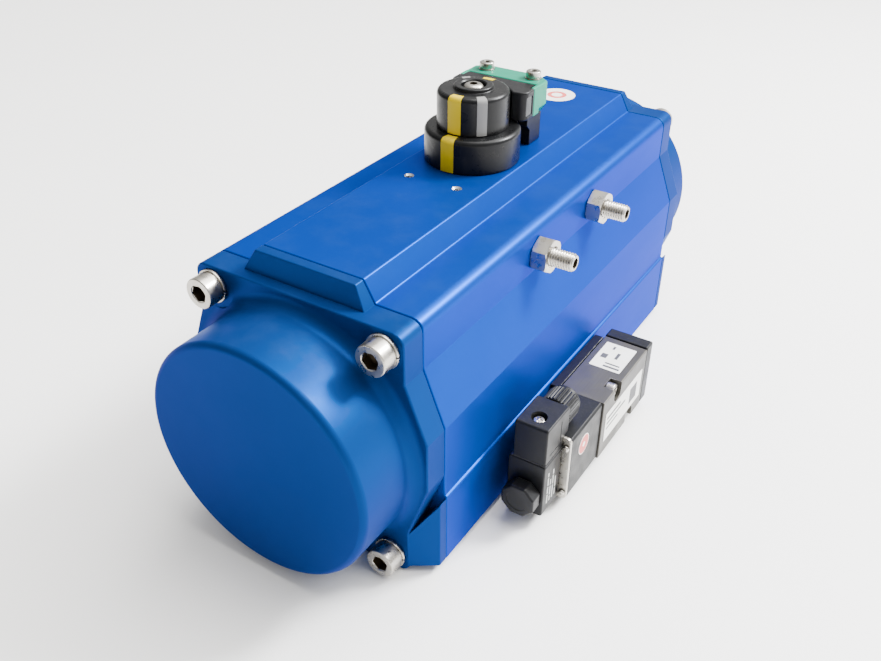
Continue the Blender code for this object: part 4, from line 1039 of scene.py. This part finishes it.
def labels():
    low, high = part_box("valve_body")
    marks = [
        (-0.2, -0.85, 0.85, -0.72), (-0.2, -0.60, 0.75, -0.50), (-0.75, -0.25, -0.35, 0.10),
        (0.1, -0.1, 0.3, 0.4), (-0.4, 0.55, -0.25, 0.8)
    ]
    label("valve_top_label", Z, 1, (0.0925, 0.0120, high.z), (0.0190, 0.0265), WHITE, marks)
    marks = [
        (-0.92, 0.45, -0.2, 0.62), (-0.92, 0.10, 0.1, 0.25), (-0.92, -0.25, -0.3, -0.12),
        (0.35, -0.6, 0.75, 0.5)
    ]
    label(
        "valve_side_label", X, 1, (high.x, 0.000, (low.z + high.z) / 2 - 0.001), (0.052, 0.0200), WHITE, marks
    )
    coil_low, coil_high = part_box("solenoid_coil")
    rows = []
    for row, (start, ends) in enumerate(
        (
            (-0.80, (-0.3, 0.1, 0.55, 0.8)), (-0.80, (-0.5, 0.0, 0.35)), (-0.80, (-0.1, 0.4, 0.7)),
            (-0.80, (-0.4, 0.2))
        )
    ):
        low_a = -0.62 + 0.36 * row
        for end in ends:
            rows.append((low_a, start, low_a + 0.15, end - 0.08))
            start = end
    shapes = []
    centre_y, centre_z = (coil_low.y + coil_high.y) / 2, (coil_low.z + coil_high.z) / 2
    for a0, b0, a1, b1 in rows:
        corners = rectangle(
            (centre_y + a0 * 0.008, centre_z + b0 * 0.014), (centre_y + a1 * 0.008, centre_z + b1 * 0.014),
            0.0001, 2
        )
        shapes.append(prism(corners, coil_high.x - 0.00005, coil_high.x + 0.00008, X))
    printed = piece("coil_print", merge(*shapes), PRINT)
    pilot_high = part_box("pilot_block")[1]
    round_label("pilot_sticker", X, 1, (pilot_high.x, -0.053, AXIS_Z - 0.039), 0.0062, (0.0016, 0.0057))
    round_label("pad_sticker", Z, 1, (-0.005, 0.115, TOP), 0.0118, (0.0035, 0.0062))


# ---------------------------------------------------------------- inner parts

def springs():
    """Round-wire springs, each riding on the body of its CAD node."""
    for name, radius, wire, turns, joint, anchor_y, keep in (
        ("rear_spring", 0.034, 0.0030, 6, "rear_piston_slide", 0.1872, 0.66),
        ("front_spring", 0.034, 0.0030, 6, "front_piston_slide", -0.1872, 0.66),
        ("spool_spring", 0.0048, 0.0005, 4, "spool_slide", 0.0360, 0.75),
    ):
        low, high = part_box(name)
        centre = ((low.x + high.x) / 2, 0, (low.z + high.z) / 2)
        length = high.y - low.y - 2 * wire
        rings = []
        total = turns * 40
        for step in range(total + 1):
            part = step / total
            eased = min(max((part * turns - 0.75) / (turns - 1.5), 0.0), 1.0)
            angle = math.tau * part * turns
            height = low.y + wire + length * (0.04 * part + 0.96 * eased)
            out = Vector((math.cos(angle), 0, math.sin(angle)))
            middle = Vector(centre) + out * radius + Vector((0, height, 0))
            rings.append(
                [
                    middle + (out * math.cos(a) + Vector((0, 1, 0)) * math.sin(a)) * wire
                    for a in [math.tau * k / 10 for k in range(10)]
                ]
            )
        obj = piece(name + "_coil", skin(rings), look(name), name)
        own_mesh(obj)


def inner_materials():
    """The CAD nodes whose shape stays get the slot's full material."""
    for name, obj in frame["nodes"].items():
        if obj.hide_render:
            continue
        obj.data.materials.clear()
        obj.data.materials.append(look(name))


# ---------------------------------------------------------------- stage

def area_light(name, place, aim, size, power, colour):
    data = bpy.data.lights.new(name, "AREA")
    data.shape = "RECTANGLE"
    data.size, data.size_y = size
    data.energy = power
    data.color = colour
    obj = bpy.data.objects.new(name, data)
    obj.location = place
    obj.rotation_euler = (Vector(aim) - Vector(place)).to_track_quat("-Z", "Y").to_euler()
    bpy.context.scene.collection.objects.link(obj)


def stage():
    mesh = bpy.data.meshes.new("floor")
    mesh.from_pydata([(-6, -6, 0), (6, -6, 0), (6, 6, 0), (-6, 6, 0)], [], [(0, 1, 2, 3)])
    floor = bpy.data.objects.new("floor", mesh)
    made, tree, shader = new_material("floor", Roughness=0.55)
    tone = blend(
        tree, span(tree, noise(tree, 5, 3), 0.3, 0.7), (0.92, 0.915, 0.90, 1), (0.93, 0.925, 0.91, 1)
    )
    tree.links.new(tone, shader.inputs["Base Color"])
    mesh.materials.append(made)
    bpy.context.scene.collection.objects.link(floor)
    world = bpy.data.worlds.new("world")
    world.use_nodes = True
    background = world.node_tree.nodes["Background"]
    background.inputs["Color"].default_value = (1.0, 0.99, 0.975, 1)
    way = add(world.node_tree, "TexCoord", {}).outputs["Generated"]
    bright_side = Vector((0.42, 0.48, 0.77))
    match = add(
        world.node_tree, "VectorMath", {0: way, 1: bright_side}, operation="DOT_PRODUCT"
    ).outputs["Value"]
    world.node_tree.links.new(
        span(world.node_tree, match, -0.4, 0.9, 0.08, 1.45), background.inputs["Strength"]
    )
    bpy.context.scene.world = world
    sky = bpy.data.lights.new("sky", "SUN")
    sky.energy = 7.0
    sky.angle = math.radians(60)
    sky.color = (1, 0.99, 0.98)
    lamp = bpy.data.objects.new("sky", sky)
    lamp.rotation_euler = Vector((0.30, 0.40, 1.0)).to_track_quat("Z", "Y").to_euler()
    bpy.context.scene.collection.objects.link(lamp)
    area_light("window", (0.76, 0.82, 1.10), (0, -0.17, 0.1), (0.40, 0.40), 75, (0.97, 0.98, 1))


def camera():
    data = bpy.data.cameras.new("camera")
    data.sensor_width = 36
    data.lens = 37.5
    data.clip_start = 0.01
    obj = bpy.data.objects.new("camera", data)
    place, aim = Vector((0.2431, -0.4125, 0.3605)), Vector((-0.0204, 0.0, 0.0301))
    obj.location = place
    turn = (aim - place).to_track_quat("-Z", "Y") @ Matrix.Rotation(
        math.radians(0.19), 4, "Z"
    ).to_quaternion()
    obj.rotation_euler = turn.to_euler()
    bpy.context.scene.collection.objects.link(obj)
    bpy.context.scene.camera = obj


camera()
stage()
body()
end_cap("front", True)
end_cap("rear", False)
cap_screws()
stop_bolts()
puck()
sensor()
valve()
solenoid()
plug()
labels()
springs()
inner_materials()
